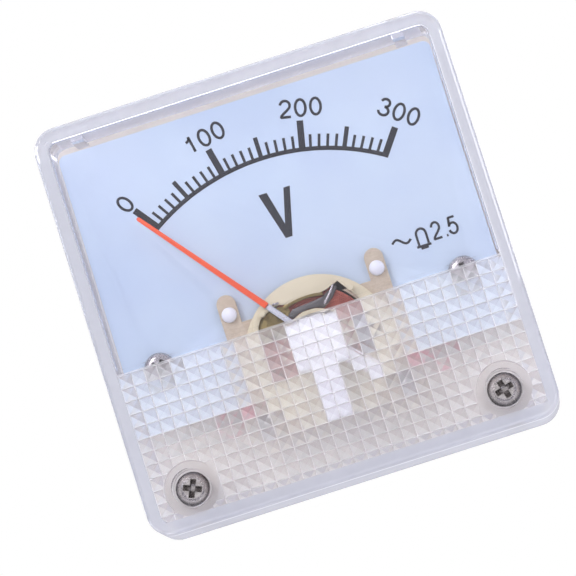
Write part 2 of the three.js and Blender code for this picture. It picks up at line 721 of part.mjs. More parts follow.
// A cup with a cone for the spindle's tip, open towards +Y.
function frontJewel() {
  const backY = bossBackY;
  const profile = [
    [0, backY - JEWEL_LENGTH],
    [JEWEL_RADIUS, backY - JEWEL_LENGTH],
    [JEWEL_RADIUS, backY],
    [SPINDLE_RADIUS + 0.2, backY],
    [0, spindleFrontY - TIP_GAP],
  ];
  return turned(profile, 0, PIVOT_Z, SMALL);
}

function rearBridge() {
  const half = rearBridgeHalf;
  const backY = REAR_BRIDGE_Y + REAR_BRIDGE_THICK;
  const low = PIVOT_Z - REAR_BRIDGE_HEIGHT / 2;
  const high = PIVOT_Z + REAR_BRIDGE_HEIGHT / 2;
  const web = box(-half, half, REAR_BRIDGE_Y, backY, low, high);
  const legs = sides.map(([, side]) => {
    const from = Math.min(side * half, side * (half - REAR_BRIDGE_LEG));
    return box(from, from + REAR_BRIDGE_LEG, bobbinBackY, backY, low, high);
  });
  const hole = rod(REAR_JEWEL_RADIUS + HOLE_GAP, REAR_BRIDGE_Y - 1, backY + 1, 0, PIVOT_Z);
  return cut(join([web, ...legs]), [hole]);
}

function rearJewelScrew() {
  const frontY = SPINDLE_BACK - 0.6;
  const backY = frontY + REAR_JEWEL_LENGTH;
  const profile = [
    [0, SPINDLE_BACK + TIP_GAP],
    [SPINDLE_RADIUS + 0.15, frontY],
    [REAR_JEWEL_RADIUS, frontY],
    [REAR_JEWEL_RADIUS, backY],
    [0, backY],
  ];
  const slot = box(-2, 2, backY - 0.8, backY + 1, PIVOT_Z - 0.3, PIVOT_Z + 0.3);
  return cut(turned(profile, 0, PIVOT_Z, SMALL), [slot]);
}

addPart(movement, "front_bridge", frontBridge(), "white");
addPart(movement, "bridge_screw", bridgeScrew(), "nickel");
addPart(movement, "front_jewel", frontJewel(), "brass");
addPart(movement, "rear_bridge", rearBridge(), "brass");
addPart(movement, "rear_jewel_screw", rearJewelScrew(), "brass");
const lockNut = { flats: 5, height: 1.8 };
const lockNutY = REAR_BRIDGE_Y + REAR_BRIDGE_THICK;
addPart(
  movement,
  "rear_jewel_nut",
  hexNut(lockNut, REAR_JEWEL_RADIUS + HOLE_GAP, lockNutY, 0, PIVOT_Z),
  "brass",
);

// ---------------------------------------------------------------- damping magnet

const magnetFromY = VANE_FRONT_Y + VANE_THICK + 0.7;
const magnetToY = magnetFromY + MAGNET_THICK;
const jawLow = vaneRadius - MAGNET_SIZE;
const spineLow = vaneRadius + 0.4;

function magnetYoke() {
  const half = MAGNET_SIZE / 2 + 0.3;
  const spineHigh = spineLow + YOKE_THICK;
  const backY = magnetToY + YOKE_THICK;
  const jawFromY = VANE_FRONT_Y - 1.2 - YOKE_THICK;
  return join([
    box(-half, half, bobbinBackY, backY, spineLow, spineHigh),
    box(-half, half, jawFromY, jawFromY + YOKE_THICK, jawLow, spineHigh),
    box(-half, half, magnetToY, backY, jawLow, spineHigh),
  ])
    .rotateY(Math.PI)
    .translate(0, 0, PIVOT_Z);
}

function dampingMagnet() {
  const half = MAGNET_SIZE / 2;
  const high = jawLow + MAGNET_SIZE;
  return box(-half, half, magnetFromY, magnetToY, PIVOT_Z - high, PIVOT_Z - jawLow);
}

addPart(movement, "magnet_yoke", magnetYoke(), "steel");
addPart(movement, "damping_magnet", dampingMagnet(), "magnet");

// ---------------------------------------------------------------- moving system
// Built pointing straight up with the spindle's axis through the origin, then turned to rest. The
// iron and the vane stand opposite the pointer, so the whole balances about the spindle.

rotor.position.set(0, 0, PIVOT_Z);
rotor.rotation.y = radians(REST_ANGLE);

function spindleBody() {
  const taper = 1.2;
  return turned(
    [
      [0, spindleFrontY],
      [SPINDLE_RADIUS, spindleFrontY + taper],
      [SPINDLE_RADIUS, SPINDLE_BACK - taper],
      [0, SPINDLE_BACK],
    ],
    0,
    0,
    12,
  );
}

const sleeve = SPINDLE_RADIUS + 0.08; // bore of what is pressed on the spindle
const hubFrontY = springY + SPRING_WIDTH - 0.1;
const hubBackY = pointerBackY + 1.1;

// The collet with its three balance arms: one opposite the pointer and one to each side.
function pointerHub() {
  const armFromY = pointerBackY + 0.45;
  const armToY = armFromY + 0.4;
  const half = 0.25;
  const tail = box(-half, half, armFromY, armToY, -BALANCE_REACH, -sleeve - 0.2);
  const arms = sides.map(([, side]) => tail.clone().rotateY((side * Math.PI) / 2));
  return join([pipe(sleeve, HUB_RADIUS, hubFrontY, hubBackY, 0, 0, SMALL), tail, ...arms]);
}

function balanceWeight() {
  const bore = 0.42;
  const y = pointerBackY + 0.65;
  return pipe(bore, BALANCE_RADIUS, 0, BALANCE_LENGTH, 0, 0, 12)
    .translate(0, BALANCE_REACH - BALANCE_LENGTH - 0.4, 0)
    .rotateX(Math.PI / 2)
    .translate(0, y, 0);
}

// The flat aluminium arm between the collet and the painted pointer.
function pointerArm() {
  const fromY = pointerBackY;
  const toY = pointerBackY + 0.25;
  const ring = pipe(HUB_RADIUS + 0.05, HUB_RADIUS + 0.7, fromY, toY, 0, 0, 20);
  const half = 0.45;
  const blade = box(-half, half, fromY, toY, HUB_RADIUS + 0.4, POINTER_ROOT + 1);
  return join([ring, blade]);
}

function pointerBlade() {
  const tip = POINTER_TIP_WIDTH / 2;
  const root = POINTER_ROOT_WIDTH / 2;
  const outline = polygon([
    [-root, POINTER_ROOT],
    [root, POINTER_ROOT],
    [tip, POINTER_TIP - 0.25],
    [tip / 2, POINTER_TIP],
    [-tip / 2, POINTER_TIP],
    [-tip, POINTER_TIP - 0.25],
  ]);
  return slab(outline, pointerFrontY, pointerBackY);
}

function movingIron() {
  const outer = BORE_RADIUS - 0.1 - IRON_THICK - 0.5;
  const inner = outer - IRON_THICK;
  const blade = slab(sector(inner, outer, -30, 30), ironFromY, ironFromY + IRON_LENGTH, 8);
  const web = box(-0.25, 0.25, -0.5, 0.5, 1, inner + 0.2);
  return join([pipe(sleeve, 1.2, -0.5, 0.5, 0, 0, SMALL), web, blade]).rotateY(Math.PI);
}

function dampingVane() {
  const half = VANE_SPREAD / 2;
  const toY = VANE_FRONT_Y + VANE_THICK;
  const blade = slab(sector(0.9, vaneRadius, -half, half), VANE_FRONT_Y, toY, 14);
  return join([pipe(sleeve, 1.4, VANE_FRONT_Y, toY, 0, 0, SMALL), blade]).rotateY(Math.PI);
}

addPart(rotor, "spindle", spindleBody(), "steel");
addPart(rotor, "pointer_hub", pointerHub(), "aluminium");
addPart(rotor, "pointer_arm", pointerArm(), "aluminium");
addPart(rotor, "pointer", pointerBlade(), "orange");
addPart(rotor, "moving_iron", movingIron(), "iron");
addPart(rotor, "damping_vane", dampingVane(), "aluminium");
addPart(rotor, "balance_weight_tail", balanceWeight().rotateY(Math.PI), "brass");
for (const [name, side] of sides) {
  addPart(rotor, "balance_weight_" + name, balanceWeight().rotateY((side * Math.PI) / 2), "brass");
}

// ---------------------------------------------------------------- zero lever and hairspring

zeroLever.position.set(0, 0, PIVOT_Z);

const leverFromY = bridgeBackY + NEAR_GAP;
const leverToY = leverFromY + LEVER_THICK;
const springOuter = SPRING_INNER + SPRING_PITCH * SPRING_TURNS;

// A ring that grips the bridge's boss, with a handle and a peg for the hairspring's outer end.
function leverBody() {
  const ring = pipe(BRIDGE_BOSS_RADIUS + HOLE_GAP, LEVER_RING, leverFromY, leverToY, 0, 0, 28);
  const half = LEVER_WIDTH / 2;
  const handle = slab(
    roundedRect(-half, half, BRIDGE_BOSS_RADIUS + 0.6, LEVER_REACH, 0.8),
    leverFromY,
    leverToY,
    4,
  ).rotateY(radians(LEVER_ANGLE));
  const pegRadius = 0.35;
  const pegAt = springOuter + SPRING_STRIP + pegRadius + 0.06;
  const peg = rod(pegRadius, leverFromY, springY + SPRING_WIDTH, 0, -pegAt, 10);
  const pegRoot = box(-0.5, 0.5, leverFromY, leverToY, -pegAt - 0.5, -LEVER_RING + 0.4);
  return join([ring, handle, peg, pegRoot]);
}

// A flat spiral strip whose outer end stops at the lever's peg.
function hairspring() {
  const perTurn = 20;
  const count = Math.round(SPRING_TURNS * perTurn);
  const outerSide = [];
  const innerSide = [];
  for (let i = 0; i <= count; i++) {
    const turn = (i / count) * SPRING_TURNS;
    const angle = Math.PI / 2 - (turn - SPRING_TURNS) * 2 * Math.PI + Math.PI;
    const radius = SPRING_INNER + SPRING_PITCH * turn;
    outerSide.push([(radius + SPRING_STRIP) * Math.cos(angle), (radius + SPRING_STRIP) * Math.sin(angle)]);
    innerSide.push([radius * Math.cos(angle), radius * Math.sin(angle)]);
  }
  return slab(polygon([...outerSide, ...innerSide.reverse()]), springY, springY + SPRING_WIDTH);
}

addPart(zeroLever, "zero_lever", leverBody(), "white");
addPart(zeroLever, "hairspring", hairspring(), "bronze");

// ---------------------------------------------------------------- wiring

// A ring tag clamped under the terminal's head, with a solder tail pointing down.
function terminalLug(x) {
  const bore = TERMINAL_RADIUS + HOLE_GAP;
  const ring = pipe(bore, bore + 1.6, lugY, capFrontY, x, 0, 20);
  const tail = box(x - 0.9, x + 0.9, lugY, capFrontY, -8, -bore - 0.8);
  return join([ring, tail]);
}

const resistorY = lugY - RESISTOR.room - RESISTOR.length;

function seriesResistor() {
  const { x, z, radius, lead, wire } = RESISTOR;
  const start = resistorY;
  const endY = lugY - RESISTOR.room;
  const body = turned(
    [
      [0, start],
      [0.8 * radius, start],
      [radius, start + 0.8],
      [radius, endY - 0.8],
      [0.8 * radius, endY],
      [0, endY],
    ],
    x,
    z,
    20,
  );
  const frontLead = rod(lead, start - wire, start + 0.5, x, z, 8);
  const rearLead = wireAlong(
    [
      [x, endY - 0.5, z],
      [x, endY + 1.8, z],
      [x + 1.6, lugY - 1.2, z - 1.8],
      [-TERMINAL_X - 0.4, lugY - lead - 0.15, -7],
    ],
    lead,
    14,
  );
  return join([body, frontLead, rearLead]);
}

const rim = FLANGE_RADIUS + WIRE_RADIUS + 0.2;
const overBoardY = boardFrontY - WIRE_RADIUS - 0.15;
const underDialY = dialBackY + WIRE_RADIUS + 0.8;
const LEAD_START_ANGLE = 112; // on the cheek's rim, from straight up
const [rimX, rimRise] = polar(LEAD_START_ANGLE, rim);
const rimZ = cheekZ + rimRise;
const [leftHoleX, leftHoleZ] = leadHoles.left;
const [rightHoleX, rightHoleZ] = leadHoles.right;
const leadEndY = resistorY - RESISTOR.wire - WIRE_RADIUS - NEAR_GAP;
const lugTailX = TERMINAL_X + 0.3;
const lugTailZ = -7.2;

// A place part of the way from a lead's hole to where it ends, at a depth behind the panel.
function between(hole, end, share, y) {
  return [hole[0] + share * (end[0] - hole[0]), y, hole[1] + share * (end[1] - hole[1])];
}

// Each lead starts at the coil's front cheek, crosses the board, turns down past the dial's lower
// edge and goes through the floor. The right one ends at its terminal, the left at the resistor.
const leadRoutes = {
  right: [
    [rimX, overBoardY, rimZ],
    [BOARD_HALF - 0.6, overBoardY, rimZ - 0.8],
    [BOARD_HALF + 1.3, overBoardY + 0.5, DIAL_BOTTOM - 1.5],
    [BOARD_HALF + 3.7, overBoardY + 2.2, DIAL_BOTTOM - 2.5],
    [BOARD_HALF + 5.1, underDialY, DIAL_BOTTOM - 1.3],
    [rightHoleX + 1.2, underDialY + 0.5, rightHoleZ - 1.9],
    [rightHoleX, -1.2, rightHoleZ],
    [rightHoleX, 3, rightHoleZ],
    between(leadHoles.right, [lugTailX, lugTailZ], 0.35, 0.4 * lugY),
    between(leadHoles.right, [lugTailX, lugTailZ], 0.75, 0.7 * lugY),
    [lugTailX, lugY - WIRE_RADIUS - 0.3, lugTailZ],
  ],
  left: [
    [-rimX, overBoardY, rimZ],
    [-BOARD_HALF + 0.6, overBoardY, rimZ - 0.9],
    [-BOARD_HALF - 1.3, overBoardY + 0.4, DIAL_BOTTOM - 1.8],
    [-BOARD_HALF - 3.5, overBoardY + 2.4, DIAL_BOTTOM - 2.3],
    [-BOARD_HALF - 4.1, underDialY, DIAL_BOTTOM - 1],
    [leftHoleX - 0.3, underDialY + 0.5, leftHoleZ - 1.5],
    [leftHoleX, -1.2, leftHoleZ],
    [leftHoleX, WIRE_RADIUS + 0.3, leftHoleZ],
    between(leadHoles.left, [RESISTOR.x, RESISTOR.z], 0.6, 0.6 * leadEndY),
    [RESISTOR.x, leadEndY, RESISTOR.z],
  ],
};

for (const [name, x] of terminalPlaces) {
  addPart(movement, "terminal_lug_" + name, terminalLug(x), "brass");
  addPart(movement, "lead_wire_" + name, wireAlong(leadRoutes[name], WIRE_RADIUS, 44), "red");
}
addPart(movement, "series_resistor", seriesResistor(), "blue");

// ---------------------------------------------------------------- terminals and mounting hardware

function terminalStud(x) {
  const headY = lugY - TERMINAL_HEAD.height;
  const head = slab(hexagon(TERMINAL_HEAD.flats), headY, lugY).translate(x, 0, 0);
  return join([head, rod(TERMINAL_RADIUS, lugY - 0.5, BARREL_DEPTH + TERMINAL_REACH, x, 0, 20)]);
}

for (const [name, x] of terminalPlaces) {
  const bore = TERMINAL_RADIUS + HOLE_GAP;
  const washerToY = BARREL_DEPTH + WASHER_M4.height;
  addPart(fasteners, "terminal_stud_" + name, terminalStud(x), "brass");
  addPart(
    fasteners,
    "terminal_washer_" + name,
    pipe(bore, WASHER_M4.radius, BARREL_DEPTH, washerToY, x, 0, 24),
    "brass",
  );
  addPart(fasteners, "terminal_nut_" + name, hexNut(NUT_M4, bore, washerToY, x, 0), "brass");
}

for (const [name, x, z] of studPlaces) {
  const bore = STUD_RADIUS + HOLE_GAP;
  const washerToY = PANEL_THICK + WASHER_M3.height;
  addPart(fasteners, "stud_" + name, rod(STUD_RADIUS, -1.4, STUD_LENGTH, x, z), "nickel");
  addPart(
    fasteners,
    "stud_washer_" + name,
    pipe(bore, WASHER_M3.radius, PANEL_THICK, washerToY, x, z, 20),
    "nickel",
  );
  addPart(fasteners, "stud_nut_" + name, hexNut(NUT_M3, bore, washerToY, x, z), "nickel");
}

export default meter;
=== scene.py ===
"""A flush-panel analog voltmeter, finished piece by piece around its CAD frame."""

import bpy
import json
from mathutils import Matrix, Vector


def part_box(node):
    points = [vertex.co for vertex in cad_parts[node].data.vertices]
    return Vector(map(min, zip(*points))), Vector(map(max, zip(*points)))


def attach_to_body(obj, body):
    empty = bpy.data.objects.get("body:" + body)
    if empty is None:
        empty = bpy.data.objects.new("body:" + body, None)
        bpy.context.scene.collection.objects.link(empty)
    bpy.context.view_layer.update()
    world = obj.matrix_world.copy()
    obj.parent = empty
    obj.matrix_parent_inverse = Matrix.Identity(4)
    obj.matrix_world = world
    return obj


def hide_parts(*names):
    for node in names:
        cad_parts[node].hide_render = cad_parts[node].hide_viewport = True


bl_info = {
    "name": "Analog Panel Meter",
    "version": (1, 0, 0),
    "blender": (4, 5, 0),
    "location": "3D View > Sidebar > Meter",
    "description": "Builds the looks of an analog dial panel meter around its CAD model",
    "category": "Object",
}

import json
import math

import bmesh
import bpy
from mathutils import Matrix, Vector

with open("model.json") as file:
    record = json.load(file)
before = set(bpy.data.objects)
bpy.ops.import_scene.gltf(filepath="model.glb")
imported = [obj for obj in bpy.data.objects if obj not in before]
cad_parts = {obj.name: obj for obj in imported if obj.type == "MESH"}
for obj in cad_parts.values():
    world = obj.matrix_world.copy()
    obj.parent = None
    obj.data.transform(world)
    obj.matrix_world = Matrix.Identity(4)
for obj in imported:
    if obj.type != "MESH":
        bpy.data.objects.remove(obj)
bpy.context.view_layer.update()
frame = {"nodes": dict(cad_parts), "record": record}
NODE_FINISHES = {part["node"]: part["material_slot"] for part in frame["record"]["subparts"]}
NODE_BODIES = {
    node: body for body, nodes in frame["record"]["behaviour"]["bodies"].items() for node in nodes
}

MM = 0.001
HOUSING = "housing"
QUARTER_TURN = (math.pi / 2, 0, 0)  # stands what lies in the XY plane up in XZ

# ------------------------------------------------------------------ places read from the frame


def span(node, axis):
    low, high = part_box(node)
    return low[axis], high[axis]


def half_width(node):
    low, high = span(node, 0)
    return (high - low) / 2


def middle(node):
    low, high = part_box(node)
    return (low + high) / 2


PIVOT = Vector((0.0, 0.0, middle("spindle").z))
COVER_LOW, COVER_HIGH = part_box("front_cover")
FACE_Y = COVER_LOW.y
DIAL_FRONT_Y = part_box("dial_plate")[0].y
# the bobbin's front cheek stands a little in front of the plate in its window
CHEEK_FRONT_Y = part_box("field_plate")[0].y - 0.25 * MM
COVER_WALL = 2 * MM
COVER_HEAD_RISE = 1.7 * MM
MACHINED_EDGE = 32.0  # degrees: sharper turns than this stay edges on screws and nuts


# ------------------------------------------------------------------ node trees


class Nodes:
    """Adds nodes to a tree and links whatever sockets they are given."""

    def __init__(self, tree):
        self.tree = tree

    def add(self, kind, inputs=None, **settings):
        node = self.tree.nodes.new(kind)
        for key, value in settings.items():
            setattr(node, key, value)
        for key, value in (inputs or {}).items():
            self.feed(node.inputs[key], value)
        return node

    def feed(self, socket, value):
        if isinstance(value, bpy.types.Node):
            value = value.outputs[0]
        if isinstance(value, bpy.types.NodeSocket):
            self.tree.links.new(value, socket)
        else:
            socket.default_value = value

    def math(self, operation, a, b=0.0, c=0.0):
        return self.add("ShaderNodeMath", {0: a, 1: b, 2: c}, operation=operation).outputs[0]

    def plus(self, a, b):
        return self.math("ADD", a, b)

    def minus(self, a, b):
        return self.math("SUBTRACT", a, b)

    def times(self, a, b):
        return self.math("MULTIPLY", a, b)

    def times_plus(self, a, b, c):
        return self.math("MULTIPLY_ADD", a, b, c)

    def vector(self, x=0.0, y=0.0, z=0.0):
        return self.add("ShaderNodeCombineXYZ", {0: x, 1: y, 2: z}).outputs[0]


SOCKETS = {
    float: "NodeSocketFloat",
    int: "NodeSocketInt",
    Vector: "NodeSocketVector",
    bpy.types.Material: "NodeSocketMaterial",
    bpy.types.Object: "NodeSocketObject",
}


class Shape(Nodes):
    """A geometry tree with named inputs, grown on an object and then made a plain mesh."""

    def __init__(self, name, **inputs):
        super().__init__(bpy.data.node_groups.new(name, "GeometryNodeTree"))
        face = self.tree.interface
        face.new_socket("Geometry", in_out="INPUT", socket_type="NodeSocketGeometry")
        self.values = {}
        for label, value in inputs.items():
            socket = face.new_socket(
                label.replace("_", " ").capitalize(),
                in_out="INPUT",
                socket_type=SOCKETS[type(value)],
            )
            self.values[label] = (socket.identifier, value)
        face.new_socket("Geometry", in_out="OUTPUT", socket_type="NodeSocketGeometry")
        self.given = self.tree.nodes.new("NodeGroupInput")
        self.labels = ["geometry", *inputs]

    def __getitem__(self, label):
        return self.given.outputs[self.labels.index(label)]

    def moved(self, geometry, place=(0, 0, 0), turn=(0, 0, 0), scale=(1, 1, 1)):
        values = {"Geometry": geometry, "Translation": place, "Rotation": turn, "Scale": scale}
        return self.add("GeometryNodeTransform", values).outputs[0]

    def block(self, size, place):
        return self.moved(self.add("GeometryNodeMeshCube", {"Size": size}).outputs["Mesh"], place)

    def peg(self, sides, radius, centre, front_y, back_y):
        """A cylinder along Y."""
        values = {"Vertices": sides, "Radius": radius, "Depth": back_y - front_y}
        upright = self.add("GeometryNodeMeshCylinder", values).outputs["Mesh"]
        return self.moved(upright, (centre.x, (front_y + back_y) / 2, centre.z), QUARTER_TURN)

    def boolean(self, operation, first, others):
        node = self.add("GeometryNodeMeshBoolean", operation=operation, solver="EXACT")
        if operation == "DIFFERENCE":
            self.feed(node.inputs["Mesh 1"], first)
        else:
            others = [first, *others]
        for other in others:
            self.feed(node.inputs["Mesh 2"], other)
        node.inputs["Self Intersection"].default_value = True
        return node.outputs["Mesh"]

    def together(self, *geometries):
        node = self.add("GeometryNodeJoinGeometry")
        for geometry in geometries:
            self.feed(node.inputs[0], geometry)
        return node.outputs[0]

    def swept(self, curve, width, height=None):
        """A closed bar along a curve, or a round wire when it has no height."""
        if height is None:
            values = {"Resolution": 6, "Radius": self.times(width, 0.5)}
            profile = self.add("GeometryNodeCurvePrimitiveCircle", values)
        else:
            values = {"Width": width, "Height": height}
            profile = self.add("GeometryNodeCurvePrimitiveQuadrilateral", values)
        path = {"Curve": curve, "Profile Curve": profile.outputs["Curve"], "Fill Caps": True}
        return self.add("GeometryNodeCurveToMesh", path).outputs[0]

    def wire(self, curve, width, height=None):
        """A curve that lies flat in XY swept by a strip: width across the curve, height along Z."""
        flat = self.add("GeometryNodeSetCurveNormal", {"Curve": curve}, mode="Z_UP")
        return self.swept(flat, width, height)

    def grow(self, name, result, mesh=None):
        """Ends the tree, runs it on a new object and leaves that object with the plain result."""
        material = self.values["finish"][1]
        realized = self.add("GeometryNodeRealizeInstances", {"Geometry": result})
        finish = self.add("GeometryNodeSetMaterial", {"Geometry": realized, "Material": self["finish"]})
        output = self.tree.nodes.new("NodeGroupOutput")
        self.tree.links.new(finish.outputs[0], output.inputs[0])
        piece = place_mesh(name, mesh or bpy.data.meshes.new(name), material)
        modifier = piece.modifiers.new("Shape", "NODES")
        modifier.node_group = self.tree
        for identifier, value in self.values.values():
            modifier[identifier] = value
        flatten(piece)
        return piece


# ------------------------------------------------------------------ mesh helpers


def place_mesh(name, mesh, material):
    piece = bpy.data.objects.new(name, mesh)
    bpy.context.scene.collection.objects.link(piece)
    if material and not mesh.materials:
        mesh.materials.append(material)
    return piece


def flatten(piece):
    """Replaces a piece's mesh by what its modifiers make of it, and removes them."""
    bpy.context.view_layer.update()
    evaluated = piece.evaluated_get(bpy.context.evaluated_depsgraph_get())
    mesh = bpy.data.meshes.new_from_object(evaluated)
    mesh.name = piece.name
    piece.modifiers.clear()
    piece.data = mesh


def soften(piece, angle=35.0, bevel=0.0):
    """Rounds the edges a little and smooths the shading across them."""
    if bevel:
        modifier = piece.modifiers.new("Edge", "BEVEL")
        modifier.width = bevel
        modifier.segments = 2
        modifier.limit_method = "ANGLE"
        modifier.angle_limit = math.radians(angle)
        modifier.use_clamp_overlap = True
        flatten(piece)
    piece.data.shade_smooth()
    piece.data.set_sharp_from_angle(angle=math.radians(angle))


def settle(piece, node):
    """Lets a finished piece stand for a CAD node: hides the node and puts the piece on the node's body.
    """
    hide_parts(node)
    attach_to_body(piece, NODE_BODIES[node])


def attach(piece):
    """Lets a piece that the CAD model lacks ride on the housing."""
    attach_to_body(piece, HOUSING)


def fine_copy(node, name, bevel, rounds=0):
    """A CAD solid with its triangles joined into faces and its edges eased, or its rounds smoothed."""
    mesh = frame["nodes"][node].data.copy()
    mesh.materials.clear()
    work = bmesh.new()
    work.from_mesh(mesh)
    bmesh.ops.remove_doubles(work, verts=work.verts, dist=2e-6)
    if not rounds:
        bmesh.ops.dissolve_limit(
            work,
            angle_limit=math.radians(0.8),
            verts=work.verts,
            edges=work.edges,
            use_dissolve_boundaries=False,
        )
    work.to_mesh(mesh)
    work.free()
    piece = place_mesh(name, mesh, FINISHES[NODE_FINISHES[node]])
    if rounds:
        modifier = piece.modifiers.new("Round", "SUBSURF")
        modifier.levels = modifier.render_levels = rounds
        flatten(piece)
    soften(piece, bevel=bevel)
    settle(piece, node)
    return piece


def loft(loops, closed=False):
    """A closed mesh through loops that have the same number of points, capped unless it is a ring."""
    work = bmesh.new()
    rings = [[work.verts.new(point) for point in loop] for loop in loops]
    if closed:
        rings.append(rings[0])
    else:
        work.faces.new(rings[0])
        work.faces.new(rings[-1])
    for low, high in zip(rings, rings[1:]):
        for i in range(len(low)):
            j = (i + 1) % len(low)
            work.faces.new((low[i], low[j], high[j], high[i]))
    bmesh.ops.recalc_face_normals(work, faces=work.faces)
    mesh = bpy.data.meshes.new("loft")
    work.to_mesh(mesh)
    work.free()
    return mesh


def circle(radius, y, sides, z=0.0, start=0.0):
    angles = [start + 2 * math.pi * i / sides for i in range(sides)]
    return [(radius * math.cos(a), y, z + radius * math.sin(a)) for a in angles]


def lathe(profile, sides, closed=False, z=0.0):
    """A mesh turned about a line along Y from (radius, y) points."""
    return loft([circle(radius, y, sides, z) for radius, y in profile], closed)


def flat_slab(outline, front_y, back_y):
    """A closed plate from an outline of (x, z) points."""
    return loft([[(x, y, z) for x, z in outline] for y in (front_y, back_y)])


def carve(mesh, tool, operation="DIFFERENCE"):
    """What the exact solver leaves of a mesh after a tool."""
    piece, holder = place_mesh("carved", mesh, None), place_mesh("tool", tool, None)
    modifier = piece.modifiers.new("Tool", "BOOLEAN")
    modifier.operation = operation
    modifier.solver = "EXACT"
    modifier.object = holder
    flatten(piece)
    carved = piece.data
    for spare in (piece, holder):
        bpy.data.objects.remove(spare)
    return carved


# ------------------------------------------------------------------ finishes


class Finish(Nodes):
    """A surface material: one shader, whose colour, roughness and bump vary over the object."""

    def __init__(self, name, metallic=0.0, **uniform):
        self.material = bpy.data.materials.new(name)
        self.material.use_nodes = True
        super().__init__(self.material.node_tree)
        self.tree.nodes.clear()
        self.place = self.add("ShaderNodeTexCoord").outputs["Object"]
        self.shader = self.add("ShaderNodeBsdfPrincipled", {"Metallic": metallic, **uniform})
        self.output = self.add("ShaderNodeOutputMaterial", {"Surface": self.shader})

    def noise(self, size, detail=3.0, stretch=(1, 1, 1), roughness=0.5):
        scaled = self.add("ShaderNodeMapping", {"Vector": self.place, "Scale": stretch})
        texture = self.add(
            "ShaderNodeTexNoise",
            {"Vector": scaled, "Scale": 1 / size, "Detail": detail, "Roughness": roughness},
        )
        return texture.outputs["Fac"]

    def ramp(self, factor, low, high, stops=(0.3, 0.7)):
        node = self.add("ShaderNodeValToRGB", {"Fac": factor})
        node.color_ramp.elements[0].position = stops[0]
        node.color_ramp.elements[1].position = stops[1]
        node.color_ramp.elements[0].color = (*low, 1)
        node.color_ramp.elements[1].color = (*high, 1)
        return node.outputs["Color"]

    def between(self, factor, low, high):
        node = self.add(
            "ShaderNodeMapRange",
            {"Value": factor, "From Min": 0.3, "From Max": 0.7, "To Min": low, "To Max": high},
        )
        return node.outputs["Result"]

    def bump(self, height, depth):
        node = self.add("ShaderNodeBump", {"Height": height, "Distance": depth, "Strength": 1.0})
        self.feed(self.shader.inputs["Normal"], node.outputs["Normal"])

    def tone(self, pattern, low, high):
        """Lets the colour follow a pattern."""
        self.feed(self.shader.inputs["Base Color"], self.ramp(pattern, low, high))

    def grain(self, pattern, smooth, rough, depth):
        """Lets the roughness and the bump follow a pattern."""
        self.feed(self.shader.inputs["Roughness"], self.between(pattern, smooth, rough))
        self.bump(pattern, depth)

    def mix(self, factor, first, second):
        """One colour or the other, or what lies between them."""
        node = self.add("ShaderNodeMix", {0: factor, 6: first, 7: second}, data_type="RGBA")
        return node.outputs[2]


def linear(red, green, blue):
    """An sRGB colour of 0 to 255 as the linear values that shaders take."""
    values = []
    for channel in (red, green, blue):
        value = channel / 255
        values.append(value / 12.92 if value <= 0.04045 else ((value + 0.055) / 1.055) ** 2.4)
    return tuple(values)


def shaded(colour, factor):
    return tuple(min(1.0, channel * factor) for channel in colour)


def plastic(name, colour, rough=0.4, grain=0.25 * MM, depth=0.006 * MM, vary=0.06, **uniform):
    """Moulded plastic: slow flow marks in the colour and a fine satin grain."""
    finish = Finish(name, **uniform)
    flow = finish.noise(7 * MM, 4.0, (1, 0.4, 1))
    finish.tone(flow, shaded(colour, 1 - vary), shaded(colour, 1 + vary * 0.5))
    finish.grain(finish.noise(grain, 2.0), rough * 0.85, rough * 1.2, depth)
    return finish.material


def metal(name, colour, rough, stretch=(1, 1, 1), grain=0.2 * MM, depth=0.004 * MM, vary=0.12, painted_shade_reach=0.0):
    """Bare or plated metal: stretched grain for brushing, blotches where it has dulled, and painted shade
    darkening its recesses when given a reach for it.
    """
    finish = Finish(name, metallic=1.0)
    dull = finish.noise(1.6 * MM, 3.0)
    tone = finish.ramp(dull, shaded(colour, 1 - vary), shaded(colour, 1.05))
    if painted_shade_reach:
        # painted shade: ambient occlusion darkens the colour down to a sixth of itself in recesses and
        # corners
        hollow = finish.add("ShaderNodeAmbientOcclusion", {"Distance": painted_shade_reach}, samples=8)
        open_share = finish.math("POWER", hollow.outputs["AO"], 1.5)
        tone = finish.mix(open_share, (*shaded(colour, 0.16), 1), tone)
    finish.feed(finish.shader.inputs["Base Color"], tone)
    finish.grain(finish.noise(grain, 3.0, stretch), rough * 0.7, rough * 1.35, depth)
    return finish.material


def coated(name, blotch, low, high, fine, rough, depth, **uniform):
    """Enamel, ink or board: its colour follows one noise, its roughness and bump another."""
    finish = Finish(name, **uniform)
    finish.tone(finish.noise(*blotch), linear(*low), linear(*high))
    finish.grain(finish.noise(*fine), *rough, depth)
    return finish.material


